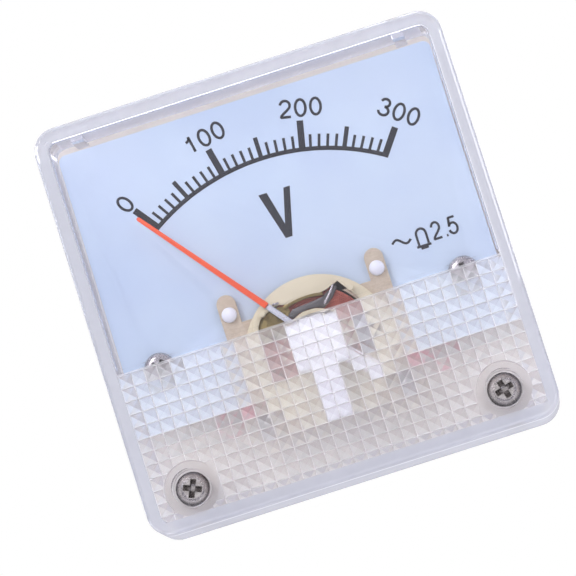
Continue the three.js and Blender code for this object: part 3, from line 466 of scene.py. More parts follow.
def clear_styrene():
    """Clear polystyrene that lets lamps shine through, milky in its walls and over the prisms, with
    painted light and shade on the prisms' facets.
    """
    finish = Finish(
        "clear_styrene",
        **{"Transmission Weight": 1.0, "IOR": 1.49, "Roughness": 0.03, "Specular IOR Level": 0.5},
    )
    finish.tone(finish.noise(9 * MM, 2.0), linear(243, 243, 252), linear(250, 250, 255))
    finish.bump(finish.noise(2.2 * MM, 2.0), 0.004 * MM)
    # where the plastic is milky: the side walls, the prisms, and most of all the grooves
    prism_haze, groove_haze, wall_haze = 0.42, 0.66, 0.4
    prism_top, plate_back, groove_back = -6.6 * MM, FACE_Y + 2 * MM, FACE_Y + 3.2 * MM
    coordinates = finish.add("ShaderNodeTexCoord")
    place = finish.add("ShaderNodeSeparateXYZ", {0: coordinates.outputs["Object"]})
    facing = finish.add("ShaderNodeSeparateXYZ", {0: coordinates.outputs["Normal"]})
    out_x, out_z = (finish.math("ABSOLUTE", place.outputs[axis]) for axis in "XZ")
    reach = finish.math("MAXIMUM", out_x, out_z)
    walls = finish.math("GREATER_THAN", reach, COVER_HIGH.x - COVER_WALL - 0.02 * MM)
    low = finish.math("LESS_THAN", place.outputs["Z"], prism_top)
    deep = finish.math("GREATER_THAN", place.outputs["Y"], plate_back)
    shallow = finish.math("LESS_THAN", place.outputs["Y"], groove_back)
    steep = finish.math("LESS_THAN", finish.math("ABSOLUTE", facing.outputs["Y"]), 0.8)
    behind = finish.times(low, deep)
    grooves = finish.times(finish.times(behind, shallow), steep)
    haze = finish.times(behind, prism_haze)
    haze = finish.math("MAXIMUM", haze, finish.times(grooves, groove_haze))
    haze = finish.math("MAXIMUM", haze, finish.times(walls, wall_haze))
    patchy = finish.times(haze, finish.between(finish.noise(3 * MM, 2.0), 0.96, 1.04))
    # painted light and shade: the prisms' facets that face up, and a little those facing +X, get a
    # lighter milk colour than those that face down
    slope = finish.times_plus(facing.outputs["X"], 0.5, facing.outputs["Z"])
    painted_facet_light = finish.ramp(
        finish.plus(slope, 0.5), linear(226, 220, 218), linear(255, 255, 253), (0.1, 0.8)
    )
    shade = finish.mix(walls, painted_facet_light, (*linear(213, 215, 224), 1))
    milk = finish.add("ShaderNodeBsdfDiffuse", {"Color": shade})
    glow = finish.add("ShaderNodeBsdfTranslucent", {"Color": shade})
    milky = finish.add("ShaderNodeMixShader", {0: 0.25, 1: milk, 2: glow})
    body = finish.add("ShaderNodeMixShader", {0: patchy, 1: finish.shader, 2: milky})
    rays = finish.add("ShaderNodeLightPath")
    clear = finish.add("ShaderNodeBsdfTransparent", {"Color": (0.95, 0.95, 0.97, 1)})
    mixed = finish.add("ShaderNodeMixShader", {0: rays.outputs["Is Shadow Ray"], 1: body, 2: clear})
    finish.feed(finish.output.inputs["Surface"], mixed)
    return finish.material


FINISHES = {}


def make_finishes():
    mesh_marks = (0.12 * MM, 2.0)
    fibre = (0.45 * MM, 5.0, (1, 1, 3), 0.65)
    FINISHES.update(
        clear=clear_styrene(),
        dial=coated(
            "dial_enamel",
            (24 * MM, 2.0),
            (203, 220, 237),
            (213, 227, 240),
            (0.35 * MM, 2.0),
            (0.42, 0.55),
            0.003 * MM,
            **{"Coat Weight": 0.15, "Coat Roughness": 0.2},
        ),
        copper_wire=coated(
            "winding_enamel",
            (0.9 * MM, 3.0),
            (168, 74, 58),
            (214, 118, 96),
            (0.15 * MM, 2.0),
            (0.3, 0.5),
            0.005 * MM,
            metallic=0.35,
            **{"Coat Weight": 0.6, "Coat Roughness": 0.12},
        ),
        ink=coated(
            "printed_ink", mesh_marks, (20, 21, 28), (36, 36, 44), mesh_marks, (0.5, 0.7), 0.004 * MM
        ),
        tan=coated(
            "speckled_board", fibre, (190, 172, 146), (216, 201, 178), fibre, (0.45, 0.65), 0.01 * MM
        ),
        cream=plastic("cream_moulding", linear(232, 223, 209), 0.34),
        ivory=plastic("ivory_nylon", linear(226, 214, 180), 0.45, vary=0.08),
        white=plastic(
            "white_nylon",
            linear(244, 244, 248),
            0.35,
            **{"Subsurface Weight": 0.15, "Subsurface Radius": (0.0006, 0.0006, 0.0006)},
        ),
        orange_metal=plastic("orange_paint", linear(255, 94, 46), 0.5, grain=0.1 * MM, vary=0.05),
        red=plastic("red_insulation", linear(190, 34, 74), 0.38, grain=0.2 * MM, vary=0.12),
        blue=plastic("blue_lacquer", linear(120, 162, 188), 0.3, vary=0.08),
        magnet=plastic("cast_magnet", linear(70, 70, 74), 0.6, grain=0.12 * MM, depth=0.02 * MM),
        # brass and nickel take painted shade in their recesses, within the last given reach
        brass=metal("turned_brass", linear(206, 180, 122), 0.26, (1, 6, 1), painted_shade_reach=0.8 * MM),
        bronze=metal("spring_bronze", linear(196, 142, 92), 0.22),
        nickel=metal("nickel_plate", linear(196, 190, 188), 0.24, grain=0.3 * MM, painted_shade_reach=0.9 * MM),
        steel=metal("plain_steel", linear(168, 168, 172), 0.32, (1, 8, 1)),
        iron=metal("annealed_iron", linear(112, 108, 106), 0.38, (3, 1, 1), vary=0.25),
        aluminium=metal("bare_aluminium", linear(206, 207, 211), 0.3, (1, 1, 5)),
        olive=metal("passivated_plate", linear(150, 132, 84), 0.35, vary=0.25),
        solder=metal("solder", linear(196, 196, 200), 0.3, grain=0.4 * MM, depth=0.02 * MM),
    )


# ------------------------------------------------------------------ settings


def level(name, description, value, **limits):
    return bpy.props.FloatProperty(
        name=name,
        description=description,
        default=value,
        unit="LENGTH",
        subtype="DISTANCE",
        precision=5,
        **limits,
    )


def length(name, description, value):
    return level(name, description, value, min=0.0)


def count(name, description, value):
    return bpy.props.IntProperty(name=name, description=description, default=value, min=1)


def turn(name, description, degrees):
    return bpy.props.FloatProperty(
        name=name,
        description=description,
        default=math.radians(degrees),
        unit="ROTATION",
        subtype="ANGLE",
    )


class CoverSettings(bpy.types.PropertyGroup):
    wall: length("Wall", "Thickness of the side walls", COVER_WALL)
    face: length("Face", "Thickness of the smooth part of the window", 1.8 * MM)
    corner: length("Corner", "Radius of the outer corners", 3.6 * MM)
    edge: length("Edge", "Rounding of the front edge", 0.8 * MM)
    prism_face: length("Prism plate", "Window thickness under the prisms", 2.2 * MM)
    prism_top: level("Prism plate top", "Height of the prism plate's upper edge", -6 * MM)
    first_row: level("First row", "Height of the upper side of the first row of prisms", -6.9 * MM)
    pitch: length("Pitch", "Width of one prism", 2 * MM)
    slope: turn("Slope", "Slope of a prism's facets", 18)
    columns: count("Columns", "Prisms side by side", 30)
    rows: count("Rows", "Prisms from top to bottom", 12)
    groove: length("Groove", "Half the width of the groove between prisms", 0.09 * MM)
    boss: length("Boss", "Radius of the screw bosses", 4.2 * MM)


class DialSettings(bpy.types.PropertyGroup):
    arc_height: level("Arc centre", "Height of the centre of the scale's arc", -14.67 * MM)
    arc_radius: length("Arc radius", "Radius of the arc's lower edge", 33.17 * MM)
    band: length("Band", "Width of the arc's line", 0.65 * MM)
    spread: turn("Spread", "Angle of the scale's ends about the arc's centre", 32.4)
    steps: count("Steps", "Divisions of the scale", 30)
    ink: length("Ink", "How far the ink stands above the enamel", 0.03 * MM)


class CoilSettings(bpy.types.PropertyGroup):
    wire: length("Wire", "Thickness of the coil's wire", 0.27 * MM)
    core: length("Core", "Radius that the first layer is wound on", 5.05 * MM)
    spring_turns: count("Turns", "Turns of the hairspring", 8)
    spring_strip: length("Strip", "Thickness of the hairspring's strip", 0.07 * MM)


class StageSettings(bpy.types.PropertyGroup):
    azimuth: turn("Azimuth", "How far the camera stands to the right", 2)
    elevation: turn("Elevation", "How far the camera stands above the dial's normal", -7)
    roll: turn("Roll", "How far the camera leans", 17.54)
    distance: length("Distance", "Camera to the point it looks at", 650 * MM)
    lens: bpy.props.FloatProperty(name="Lens", description="Focal length in mm", default=272.74)
    aim: bpy.props.FloatVectorProperty(
        name="Aim",
        description="The point the camera looks at",
        default=(-1.66 * MM, FACE_Y, -2.07 * MM),
        subtype="TRANSLATION",
        unit="LENGTH",
    )
    floor: level("Floor", "Height of the floor", -120 * MM)


# ------------------------------------------------------------------ stage


# name, place, size, watts and colour of each lamp; all of them point at the meter
LAMPS = (
    ("key", (-0.35, -0.55, 0.45), (0.35, 0.35), 1.9, (1, 1, 1)),
    ("fill", (0.5, -0.45, 0.1), (0.4, 0.4), 0.85, (0.97, 0.97, 1.0)),
    ("top", (0.0, 0.1, 0.6), (0.5, 0.3), 1.0, (1, 1, 1)),
    ("back", (0.2, 0.6, 0.25), (0.4, 0.4), 1.0, (1, 1, 1)),
)


def area_lamp(name, place, size, watts, colour):
    lamp = bpy.data.lights.new(name, "AREA")
    lamp.shape = "RECTANGLE"
    lamp.size, lamp.size_y = size
    lamp.energy = watts
    lamp.color = colour
    holder = bpy.data.objects.new(name, lamp)
    holder.location = place
    holder.rotation_euler = (-Vector(place)).to_track_quat("-Z", "Y").to_euler()
    bpy.context.scene.collection.objects.link(holder)


def studio_world():
    """White behind the object, and a softer, slightly cool room that lights it from all round."""
    world = bpy.data.worlds.new("studio")
    world.use_nodes = True
    nodes = Nodes(world.node_tree)
    nodes.tree.nodes.clear()
    direction = nodes.add("ShaderNodeTexCoord").outputs["Generated"]
    height = nodes.add("ShaderNodeSeparateXYZ", {0: direction}).outputs["Z"]
    ramp = nodes.add("ShaderNodeValToRGB", {"Fac": nodes.times_plus(height, 0.5, 0.5)})
    ramp.color_ramp.elements[0].color = (0.82, 0.81, 0.84, 1)
    ramp.color_ramp.elements[1].color = (0.95, 0.95, 1.0, 1)
    room = nodes.add("ShaderNodeBackground", {"Color": ramp.outputs["Color"], "Strength": 0.78})
    white = nodes.add("ShaderNodeBackground", {"Color": (1, 1, 1, 1), "Strength": 1.0})
    camera_ray = nodes.add("ShaderNodeLightPath").outputs["Is Camera Ray"]
    mixed = nodes.add("ShaderNodeMixShader", {0: camera_ray, 1: room, 2: white})
    nodes.add("ShaderNodeOutputWorld", {"Surface": mixed})
    bpy.context.scene.world = world


class METER_OT_stage(bpy.types.Operator):
    """Sets up the floor, the lamps, the room and the camera"""

    bl_idname = "meter.stage"
    bl_label = "Stage"

    def execute(self, context):
        settings = context.scene.meter_stage
        scene = context.scene
        scene.view_settings.view_transform = "Standard"
        studio_world()
        half = 1.5
        corners = [(x * half, y * half, settings.floor) for x, y in ((-1, -1), (1, -1), (1, 1), (-1, 1))]
        mesh = bpy.data.meshes.new("floor")
        mesh.from_pydata(corners, [], [(0, 1, 2, 3)])
        paper = plastic("floor_paper", (0.88, 0.88, 0.9), 0.7, 4 * MM, vary=0.01)
        place_mesh("floor", mesh, paper)
        for lamp in LAMPS:
            area_lamp(*lamp)
        a, e = settings.azimuth, settings.elevation
        back = Vector((math.sin(a) * math.cos(e), -math.cos(a) * math.cos(e), math.sin(e)))
        right = (-back).cross(Vector((0, 0, 1))).normalized()
        up = right.cross(-back)
        cosine, sine = math.cos(settings.roll), math.sin(settings.roll)
        side, top = cosine * right - sine * up, sine * right + cosine * up
        lens = bpy.data.cameras.new("camera")
        lens.lens = settings.lens
        lens.sensor_width = 36
        lens.clip_start = 0.01
        camera = bpy.data.objects.new("camera", lens)
        place = Matrix.Translation(Vector(settings.aim) + settings.distance * back)
        camera.matrix_world = place @ Matrix((side, top, back)).transposed().to_4x4()
        scene.collection.objects.link(camera)
        scene.camera = camera
        return {"FINISHED"}


# ------------------------------------------------------------------ front cover


def rounded_loop(half_x, half_z, radius, y, steps=10):
    points = []
    centres = (
        (half_x - radius, half_z - radius),
        (-half_x + radius, half_z - radius),
        (-half_x + radius, -half_z + radius),
        (half_x - radius, -half_z + radius),
    )
    for quarter, (cx, cz) in enumerate(centres):
        for i in range(steps + 1):
            angle = math.pi / 2 * (quarter + i / steps)
            points.append((cx + radius * math.cos(angle), y, cz + radius * math.sin(angle)))
    return points


def cover_shell(settings):
    """The open-backed box: outer face, rounded edge, walls, rim and the inside."""
    half_x, half_z = COVER_HIGH.x, COVER_HIGH.z
    wall, face, corner, edge = settings.wall, settings.face, settings.corner, settings.edge
    loops = []
    for i in range(6):
        angle = math.pi / 2 * i / 5
        inset = edge * (1 - math.sin(angle))
        y = FACE_Y + edge * (1 - math.cos(angle))
        loops.append((half_x - inset, half_z - inset, corner - inset, y))
    rim = 0.2 * MM
    loops.append((half_x, half_z, corner, -rim))
    loops.append((half_x - rim, half_z - rim, corner - rim, 0.0))
    loops.append((half_x - wall, half_z - wall, corner - wall, 0.0))
    fillet = 0.35 * MM
    floor_y = FACE_Y + face
    for i in range(4):
        angle = math.pi / 2 * i / 3
        inset = wall + fillet * (1 - math.cos(angle))
        y = floor_y + fillet * (1 - math.sin(angle))
        loops.append((half_x - inset, half_z - inset, max(corner - inset, 0.4 * MM), y))
    return loft([rounded_loop(*loop) for loop in loops])


def prism_mesh(settings):
    """One prism on the plate: a low pyramid whose steep sides make a groove with its neighbours."""
    half, overlap, sunk = settings.pitch / 2, 0.005 * MM, 0.15 * MM
    steep = settings.groove * math.tan(math.radians(60))
    inner = half - settings.groove
    crown = 0.04 * MM
    rise = (inner - crown) * math.tan(settings.slope)
    levels = (
        (half + overlap, -sunk),
        (half + overlap, 0.0),
        (inner, steep),
        (crown, steep + rise),
    )
    corner = math.sqrt(2)
    return loft([circle(reach * corner, y, 4, start=math.pi / 4) for reach, y in levels])


def build_cover(settings):
    """Joins the prisms, the bosses and the ribs to the shell, and sinks the screw holes."""
    screw_left, screw_right = middle("cover_screw_left"), middle("cover_screw_right")
    head_room, shank_room, boss_floor = 0.3 * MM, 1.65 * MM, 1.5 * MM
    seat_y = span("cover_screw_left", 1)[0] + COVER_HEAD_RISE
    boss_y = seat_y + boss_floor
    template = place_mesh("prism", prism_mesh(settings), None)
    shape = Shape(
        "Clear cover",
        prism=template,
        pitch=settings.pitch,
        columns=settings.columns,
        rows=settings.rows,
        plate=FACE_Y + settings.prism_face,
        first_row=settings.first_row,
        boss=settings.boss,
        finish=FINISHES["clear"],
    )
    pitch, plate = shape["pitch"], shape["plate"]
    prism = shape.add("GeometryNodeObjectInfo", {"Object": shape["prism"]}).outputs["Geometry"]
    wide = shape.times(pitch, shape.minus(shape["columns"], 1.0))
    tall = shape.times(pitch, shape.minus(shape["rows"], 1.0))
    counts = {"Vertices X": shape["columns"], "Vertices Y": shape["rows"]}
    grid = shape.add("GeometryNodeMeshGrid", {"Size X": wide, "Size Y": tall, **counts})
    drop = shape.times(shape.plus(tall, pitch), 0.5)
    low = shape.minus(shape["first_row"], drop)
    grid = shape.moved(grid.outputs["Mesh"], turn=QUARTER_TURN)
    grid = shape.moved(grid, place=shape.vector(0.0, plate, low))
    # leave out the prisms that the screw bosses take the place of
    place = shape.add("GeometryNodeInputPosition").outputs[0]
    axes = shape.add("ShaderNodeSeparateXYZ", {0: place})
    from_boss = shape.minus(shape.math("ABSOLUTE", axes.outputs["X"]), screw_right.x)
    above_boss = shape.minus(axes.outputs["Z"], screw_right.z)
    square = shape.times_plus(from_boss, from_boss, shape.math("POWER", above_boss, 2.0))
    inside = shape.math("LESS_THAN", shape.math("SQRT", square), shape["boss"])
    unwanted = {"Geometry": grid, "Selection": inside}
    kept = shape.add("GeometryNodeDeleteGeometry", unwanted, domain="POINT")
    prisms = shape.add("GeometryNodeInstanceOnPoints", {"Points": kept, "Instance": prism})
    field = shape.add("GeometryNodeRealizeInstances", {"Geometry": prisms}).outputs[0]
    # the plate the prisms stand on
    inner_x = COVER_HIGH.x - settings.wall + 0.1 * MM
    inner_z = COVER_HIGH.z - settings.wall + 0.1 * MM
    shell_y = FACE_Y + settings.face - 0.2 * MM
    plate_y = FACE_Y + settings.prism_face - 0.02 * MM
    slab_size = (2 * inner_x, plate_y - shell_y, settings.prism_top + inner_z)
    slab_place = (0, (plate_y + shell_y) / 2, (settings.prism_top - inner_z) / 2)
    additions = [shape.block(slab_size, slab_place), field]
    holes = []
    rib_size, rib_x = (1.8 * MM, 10.2 * MM, 1.1 * MM), 25.3 * MM
    rib_y, rib_z = -7.9 * MM, COVER_HIGH.z - settings.wall - 0.45 * MM
    for screw, side in ((screw_left, -1), (screw_right, 1)):
        additions.append(shape.peg(72, shape["boss"], screw, shell_y, boss_y))
        additions.append(shape.block(rib_size, (side * rib_x, rib_y, rib_z)))
        head = half_width("cover_screw_left") + head_room
        holes.append(shape.peg(64, head, screw, FACE_Y - 1 * MM, seat_y))
        holes.append(shape.peg(64, shank_room, screw, FACE_Y, boss_y + 1 * MM))
    whole = shape.boolean("UNION", shape["geometry"], additions)
    whole = shape.boolean("DIFFERENCE", whole, holes)
    piece = shape.grow("front_cover_clear", whole, cover_shell(settings))
    bpy.data.objects.remove(template)
    soften(piece, 14.0)
    settle(piece, "front_cover")


class METER_OT_cover(bpy.types.Operator):
    """Builds the clear cover with its prisms, bosses and ribs"""

    bl_idname = "meter.cover"
    bl_label = "Clear cover"

    def execute(self, context):
        build_cover(context.scene.meter_cover)
        return {"FINISHED"}


# ------------------------------------------------------------------ dial print


def bow(centre, reach, start, end, steps=14):
    """Points of an elliptic arc between two angles in degrees."""
    points = []
    for i in range(steps + 1):
        angle = math.radians(start + (end - start) * i / steps)
        points.append((centre[0] + reach[0] * math.cos(angle), centre[1] + reach[1] * math.sin(angle)))
    return points


# Each character's strokes in a cell one wide and one high.
GLYPHS = {
    "0": [bow((0.5, 0.5), (0.5, 0.5), 0, 360, 32)],
    "1": [[(0.62, 0), (0.62, 1)], [(0.16, 0.73), (0.4, 0.77), (0.56, 0.87), (0.62, 1)]],
    "2": [
        [*bow((0.5, 0.71), (0.47, 0.29), 172, -30), (0.66, 0.4), (0.34, 0.24), (0.1, 0.1), (0.02, -0.04)],
        [(0, 0), (1, 0)],
    ],
    "3": [
        bow((0.47, 0.76), (0.42, 0.24), 168, -90),
        bow((0.48, 0.26), (0.5, 0.26), 90, -172, 20),
    ],
    "5": [
        [(0.92, 1), (0.16, 1)],
        [(0.2, 1.03), (0.06, 0.46)],
        bow((0.47, 0.33), (0.51, 0.33), 148, -168, 22),
    ],
    ".": [[(0.3, 0), (0.7, 0)]],
}


def strokes_of(text, centre, height, advance, cell, degrees):
    """The strokes of a short text about its centre, turned clockwise, as the dial is read."""
    turned = Matrix.Rotation(-math.radians(degrees), 2)
    widths = [0.5 * advance if letter == "." else advance for letter in text]
    left = -(sum(widths) - widths[-1] + cell) / 2
    lines = []
    for letter, width in zip(text, widths):
        for path in GLYPHS[letter]:
            share = 0.55 if letter == "." else 1.0
            points = [Vector((left + x * cell * share, (y - 0.5) * height)) for x, y in path]
            lines.append([turned @ point + Vector(centre) for point in points])
        left += width
    return lines


def ink_strokes(name, lines, stroke, ink):
    """Strokes of one width along (x, z) points, printed on the dial."""
    mesh = bpy.data.meshes.new(name)
    points, edges = [], []
    for line in lines:
        edges += [(len(points) + i, len(points) + i + 1) for i in range(len(line) - 1)]
        points += [(x, z, 0) for x, z in line]
    mesh.from_pydata(points, edges, [])
    shape = Shape(name, stroke=stroke, ink=ink, finish=FINISHES["ink"])
    curve = shape.add("GeometryNodeMeshToCurve", {"Mesh": shape["geometry"]})
    print_y = DIAL_FRONT_Y - ink / 2 + 0.005 * MM
    plate = shape.moved(shape.wire(curve, shape["stroke"], shape["ink"]), turn=QUARTER_TURN)
    piece = shape.grow(name, shape.moved(plate, place=(0, print_y, 0)), mesh)
    attach(piece)


def build_scale(settings):
    """The arc and its ticks: every tick stands on the arc and points at the pointer's axis."""
    shape = Shape(
        "Dial scale",
        arc_radius=settings.arc_radius,
        arc_height=settings.arc_height,
        band=settings.band,
        spread=settings.spread,
        steps=settings.steps,
        ink=settings.ink,
        finish=FINISHES["ink"],
    )
    centre_z, radius, steps = shape["arc_height"], shape["arc_radius"], shape["steps"]
    line = shape.add("GeometryNodeMeshLine", {"Count": shape.plus(steps, 1.0)}, mode="OFFSET")
    index = shape.add("GeometryNodeInputIndex").outputs[0]
    share = shape.times_plus(shape.math("DIVIDE", index, steps), 2.0, -1.0)
    angle = shape.times(share, shape["spread"])
    x = shape.times(radius, shape.math("SINE", angle))
    z = shape.times_plus(radius, shape.math("COSINE", angle), centre_z)
    level_y = shape.times_plus(shape["ink"], -0.5, DIAL_FRONT_Y)
    spots = {"Geometry": line, "Position": shape.vector(x, level_y, z)}
    marks = shape.add("GeometryNodeSetPosition", spots)
    place = shape.add("ShaderNodeSeparateXYZ", {0: shape.add("GeometryNodeInputPosition").outputs[0]})
    lean = shape.math("ARCTAN2", place.outputs["X"], shape.minus(place.outputs["Z"], PIVOT.z))

    # width and height of a tick, and of every fifth and every tenth one
    width, reach = 0.42 * MM, 2.5 * MM
    for every, wide, long in ((5, 0.66 * MM, 3.65 * MM), (10, 1.0 * MM, 4.75 * MM)):
        hit = shape.math("LESS_THAN", shape.math("MODULO", index, float(every)), 0.5)
        for_width = shape.add("ShaderNodeMix", {0: hit, 2: width, 3: wide})
        for_reach = shape.add("ShaderNodeMix", {0: hit, 2: reach, 3: long})
        width, reach = for_width.outputs[0], for_reach.outputs[0]
    bar = shape.block((1, 1, 1), (0, 0, 0.5))
    ticks = shape.add(
        "GeometryNodeInstanceOnPoints",
        {
            "Points": marks,
            "Instance": bar,
            "Rotation": shape.vector(0.0, lean, 0.0),
            "Scale": shape.vector(width, shape["ink"], reach),
        },
    )
    arc = shape.add(
        "GeometryNodeCurveArc",
        {
            "Resolution": 97,
            "Radius": shape.times_plus(shape["band"], 0.5, radius),
            "Start Angle": shape.minus(math.pi / 2, shape["spread"]),
            "Sweep Angle": shape.times(shape["spread"], 2.0),
        },
        mode="RADIUS",
    )
    arc_curve = shape.moved(arc.outputs["Curve"], turn=QUARTER_TURN)
    arc_curve = shape.moved(arc_curve, place=shape.vector(0.0, level_y, centre_z))
    band = shape.swept(arc_curve, shape["ink"], shape["band"])
    attach(shape.grow("dial_scale", shape.together(ticks.outputs[0], band)))


def mm(points):
    return [(x * MM, z * MM) for x, z in points]


NUMERALS = (
    ("0", (-21.7, 18.5), -38),
    ("100", (-7.3, 24.5), -11),
    ("200", (7.9, 24.4), 12),
    ("300", (21.9, 19.2), 36),
)
UNIT_LETTER = (
    (-2.14, 13.59),
    (-0.82, 13.59),
    (0.43, 8.3),
    (1.82, 13.59),
    (2.83, 13.59),
    (0.95, 6.18),
    (-0.12, 6.18),
)


class METER_OT_dial_print(bpy.types.Operator):
    """Prints the scale, the numerals and the signs on the dial"""

    bl_idname = "meter.dial_print"
    bl_label = "Dial print"

    def execute(self, context):
        settings = context.scene.meter_dial
        build_scale(settings)
        digit_high, digit_wide, advance, stroke = 2.5 * MM, 1.55 * MM, 2.3 * MM, 0.4 * MM
        numerals = []
        for text, (x, z), degrees in NUMERALS:
            centre = (x * MM, z * MM)
            numerals += strokes_of(text, centre, digit_high, advance, digit_wide, degrees)
        ink_strokes("dial_numerals", numerals, stroke, settings.ink)
        letter = flat_slab(mm(UNIT_LETTER), DIAL_FRONT_Y - settings.ink, DIAL_FRONT_Y + 0.01 * MM)
        attach(place_mesh("dial_unit_letter", letter, FINISHES["ink"]))
        # the AC sign, the bell-shaped movement sign on its line, and the class, in mm on the dial
        wave = [(14.9 + 2.9 * i / 24, 0.3 + 0.45 * math.sin(2 * math.pi * i / 24)) for i in range(25)]
        bell = [(18.75, -1.1), *bow((19.5, 0.5), (0.75, 0.85), 180, 0), (20.25, -1.1)]
        sill = [(18.35, -1.3), (20.6, -1.3)]
        plinth = [(18.9, -1.62), (20.1, -1.62)]
        signs = [mm(line) for line in (wave, bell, sill, plinth)]
        signs += strokes_of("2.5", (23.15 * MM, 0.35 * MM), 2.5 * MM, 1.75 * MM, 1.25 * MM, 0)
        ink_strokes("dial_signs", signs, 0.36 * MM, settings.ink)
        return {"FINISHED"}


# ------------------------------------------------------------------ plain solids


# node, name of the finished piece and rounding of its edges in mm
SOLIDS = (
    ("rear_case", "case_moulding", 0.12),
    ("rear_cap", "rear_cap_moulding", 0.15),
    ("dial_plate", "dial_sheet", 0.05),
    ("movement_board", "movement_board_sheet", 0.08),
    ("coil_bobbin", "bobbin_moulding", 0.08),
    ("front_bridge", "front_bridge_moulding", 0.15),
    ("zero_lever", "zero_lever_moulding", 0.1),
    ("ear_post_left", "ear_post_left_nylon", 0.05),
    ("ear_post_right", "ear_post_right_nylon", 0.05),
    ("rear_bridge", "rear_bridge_strip", 0.1),
    ("magnet_yoke", "magnet_yoke_strip", 0.1),
    ("damping_magnet", "damping_magnet_block", 0.15),
    ("terminal_lug_left", "terminal_lug_left_tag", 0.05),
    ("terminal_lug_right", "terminal_lug_right_tag", 0.05),
    ("pointer_arm", "pointer_arm_strip", 0.03),
    ("pointer", "pointer_blade", 0.04),
    ("pointer_hub", "pointer_collet", 0.03),
    ("moving_iron", "moving_iron_blade", 0.03),
    ("damping_vane", "damping_vane_sheet", 0.03),
    ("series_resistor", "series_resistor_body", 0.08),
    ("field_plate", "field_plate_sheet", 0.05),
    ("fixed_iron", "fixed_iron_sheet", 0.03),
    ("front_jewel", "front_jewel_cup", 0.03),
    ("rear_jewel_screw", "rear_jewel_screw_body", 0.05),
    ("spindle", "spindle_rod", 0.0),
    ("balance_weight_tail", "balance_weight_tail_coil", 0.05),
    ("balance_weight_left", "balance_weight_left_coil", 0.05),
    ("balance_weight_right", "balance_weight_right_coil", 0.05),
)


class METER_OT_solids(bpy.types.Operator):
    """Eases the edges of the moulded, stamped and turned solids and gives each its finish"""

    bl_idname = "meter.solids"
    bl_label = "Mouldings and stampings"

    def execute(self, context):
        for node, name, edge in SOLIDS:
            fine_copy(node, name, edge * MM)
        for name, node in frame["nodes"].items():
            node.data.materials.clear()
            node.data.materials.append(FINISHES[NODE_FINISHES[name]])
        return {"FINISHED"}


# ------------------------------------------------------------------ details in the cheek's window


def around(angle, radius):
    """A point at an angle from straight up, clockwise as the dial is read, about the pivot."""
    a = math.radians(angle)
    return radius * MM * math.sin(a), PIVOT.z + radius * MM * math.cos(a)


def path(corners):
    return [around(angle, radius) for angle, radius in corners]


# angle and radius in degrees and mm of the points that each detail follows
LIP = ((-76, 9.0), (-69, 9.3), (-60, 9.7), (-52, 9.8), (-45, 9.45), (-39, 9.0))
POCKET = (
    *((-70, 8.6), (-60, 9.4), (-50, 9.4), (-41, 8.9), (-31, 7.9), (-24, 7.1)),
    *((-26, 6.3), (-40, 5.6), (-55, 5.4), (-70, 5.3)),
)
SIDE_PLATE = ((70, 8.4), (88, 8.5), (106, 8.4), (118, 8.0), (112, 6.2), (92, 5.9), (72, 6.3))
BLADE = ((26, 5.7), (28.5, 6.5), (30.2, 7.3), (31.2, 8.2), (31, 9.2))


def band_along(points, half, front_y, back_y):
    """A strip with a ridge, standing along (x, z) points."""
    loops = []
    for i, point in enumerate(points):
        before = Vector(points[max(i - 1, 0)])
        after = Vector(points[min(i + 1, len(points) - 1)])
        along = (after - before).normalized()
        across = Vector((-along.y, along.x))
        middle_y = front_y + 0.3 * half
        section = ((-half, back_y), (-half, middle_y), (0.0, front_y), (half, middle_y), (half, back_y))
        loops.append([(point[0] + across.x * w, y, point[1] + across.y * w) for w, y in section])
    return loft(loops)


class METER_OT_window(bpy.types.Operator):
    """Adds the lip, the plates and the blade that show in the cheek's window"""

    bl_idname = "meter.window"
    bl_label = "Window details"

    def execute(self, context):
        front, inside, sheet = CHEEK_FRONT_Y, CHEEK_FRONT_Y + 0.3 * MM, 0.25 * MM
        lip = band_along(path(LIP), 0.42 * MM, front - 0.3 * MM, front + 0.2 * MM)
        self.detail("pocket_lip", lip, "ivory")
        pocket = flat_slab(path(POCKET), inside, inside + sheet)
        self.detail("pocket_plate", pocket, "olive", "iron")
        arc = [around(-28 + 5 * i, 7.25 - 0.25 * math.sin(math.pi * i / 10)) for i in range(11)]
        spring = band_along(arc, 0.3 * MM, inside - 0.35 * MM, inside + 0.1 * MM)
        self.detail("arch_spring", spring, "olive", "iron")
        side = flat_slab(path(SIDE_PLATE), inside, inside + sheet)
        self.detail("side_plate", side, "steel")
        blade = band_along(path(BLADE), 0.16 * MM, inside - 0.3 * MM, inside + 0.2 * MM)
        self.detail("blade_edge", blade, "nickel")
        x, z = around(-31.5, 8.6)
        reach, half = 0.5 * MM, 0.16 * MM
        corners = ((-reach, -half), (reach, -half), (reach, half), (-reach, half))
        clip = [(x + across, z + up) for across, up in corners]
        self.detail("pocket_clip", flat_slab(clip, front - 0.25 * MM, front + 0.1 * MM), "nickel")
        return {"FINISHED"}

    def detail(self, name, mesh, finish, slot=None):
        piece = place_mesh(name, mesh, FINISHES[finish])
        soften(piece, 35.0, 0.04 * MM)
        attach(piece)


# ------------------------------------------------------------------ screws, studs and nuts


SHANK_SIDES = 28


def thread(radius, pitch, front_y, back_y):
    """Loops of a right-handed V thread about Y, run out at the front and chamfered at the back."""
    depth, run_out, loops_per_turn = 0.55 * pitch, 0.15 * MM, 8
    last = int((back_y - front_y) / pitch * loops_per_turn)
    loops = []
    for i in range(last + 1):
        y = front_y + (back_y - front_y) * i / last
        relief = max(0.0, depth + run_out - (back_y - y))
        loop = []
        for j in range(SHANK_SIDES):
            phase = ((y - front_y) / pitch + j / SHANK_SIDES) % 1.0
            ridge = min(1.0, 1.25 * abs(2 * phase - 1))
            reach = min(radius - depth * (1 - ridge), radius - relief)
            angle = 2 * math.pi * j / SHANK_SIDES
            loop.append((reach * math.cos(angle), y, reach * math.sin(angle)))
        loops.append(loop)
    return loops


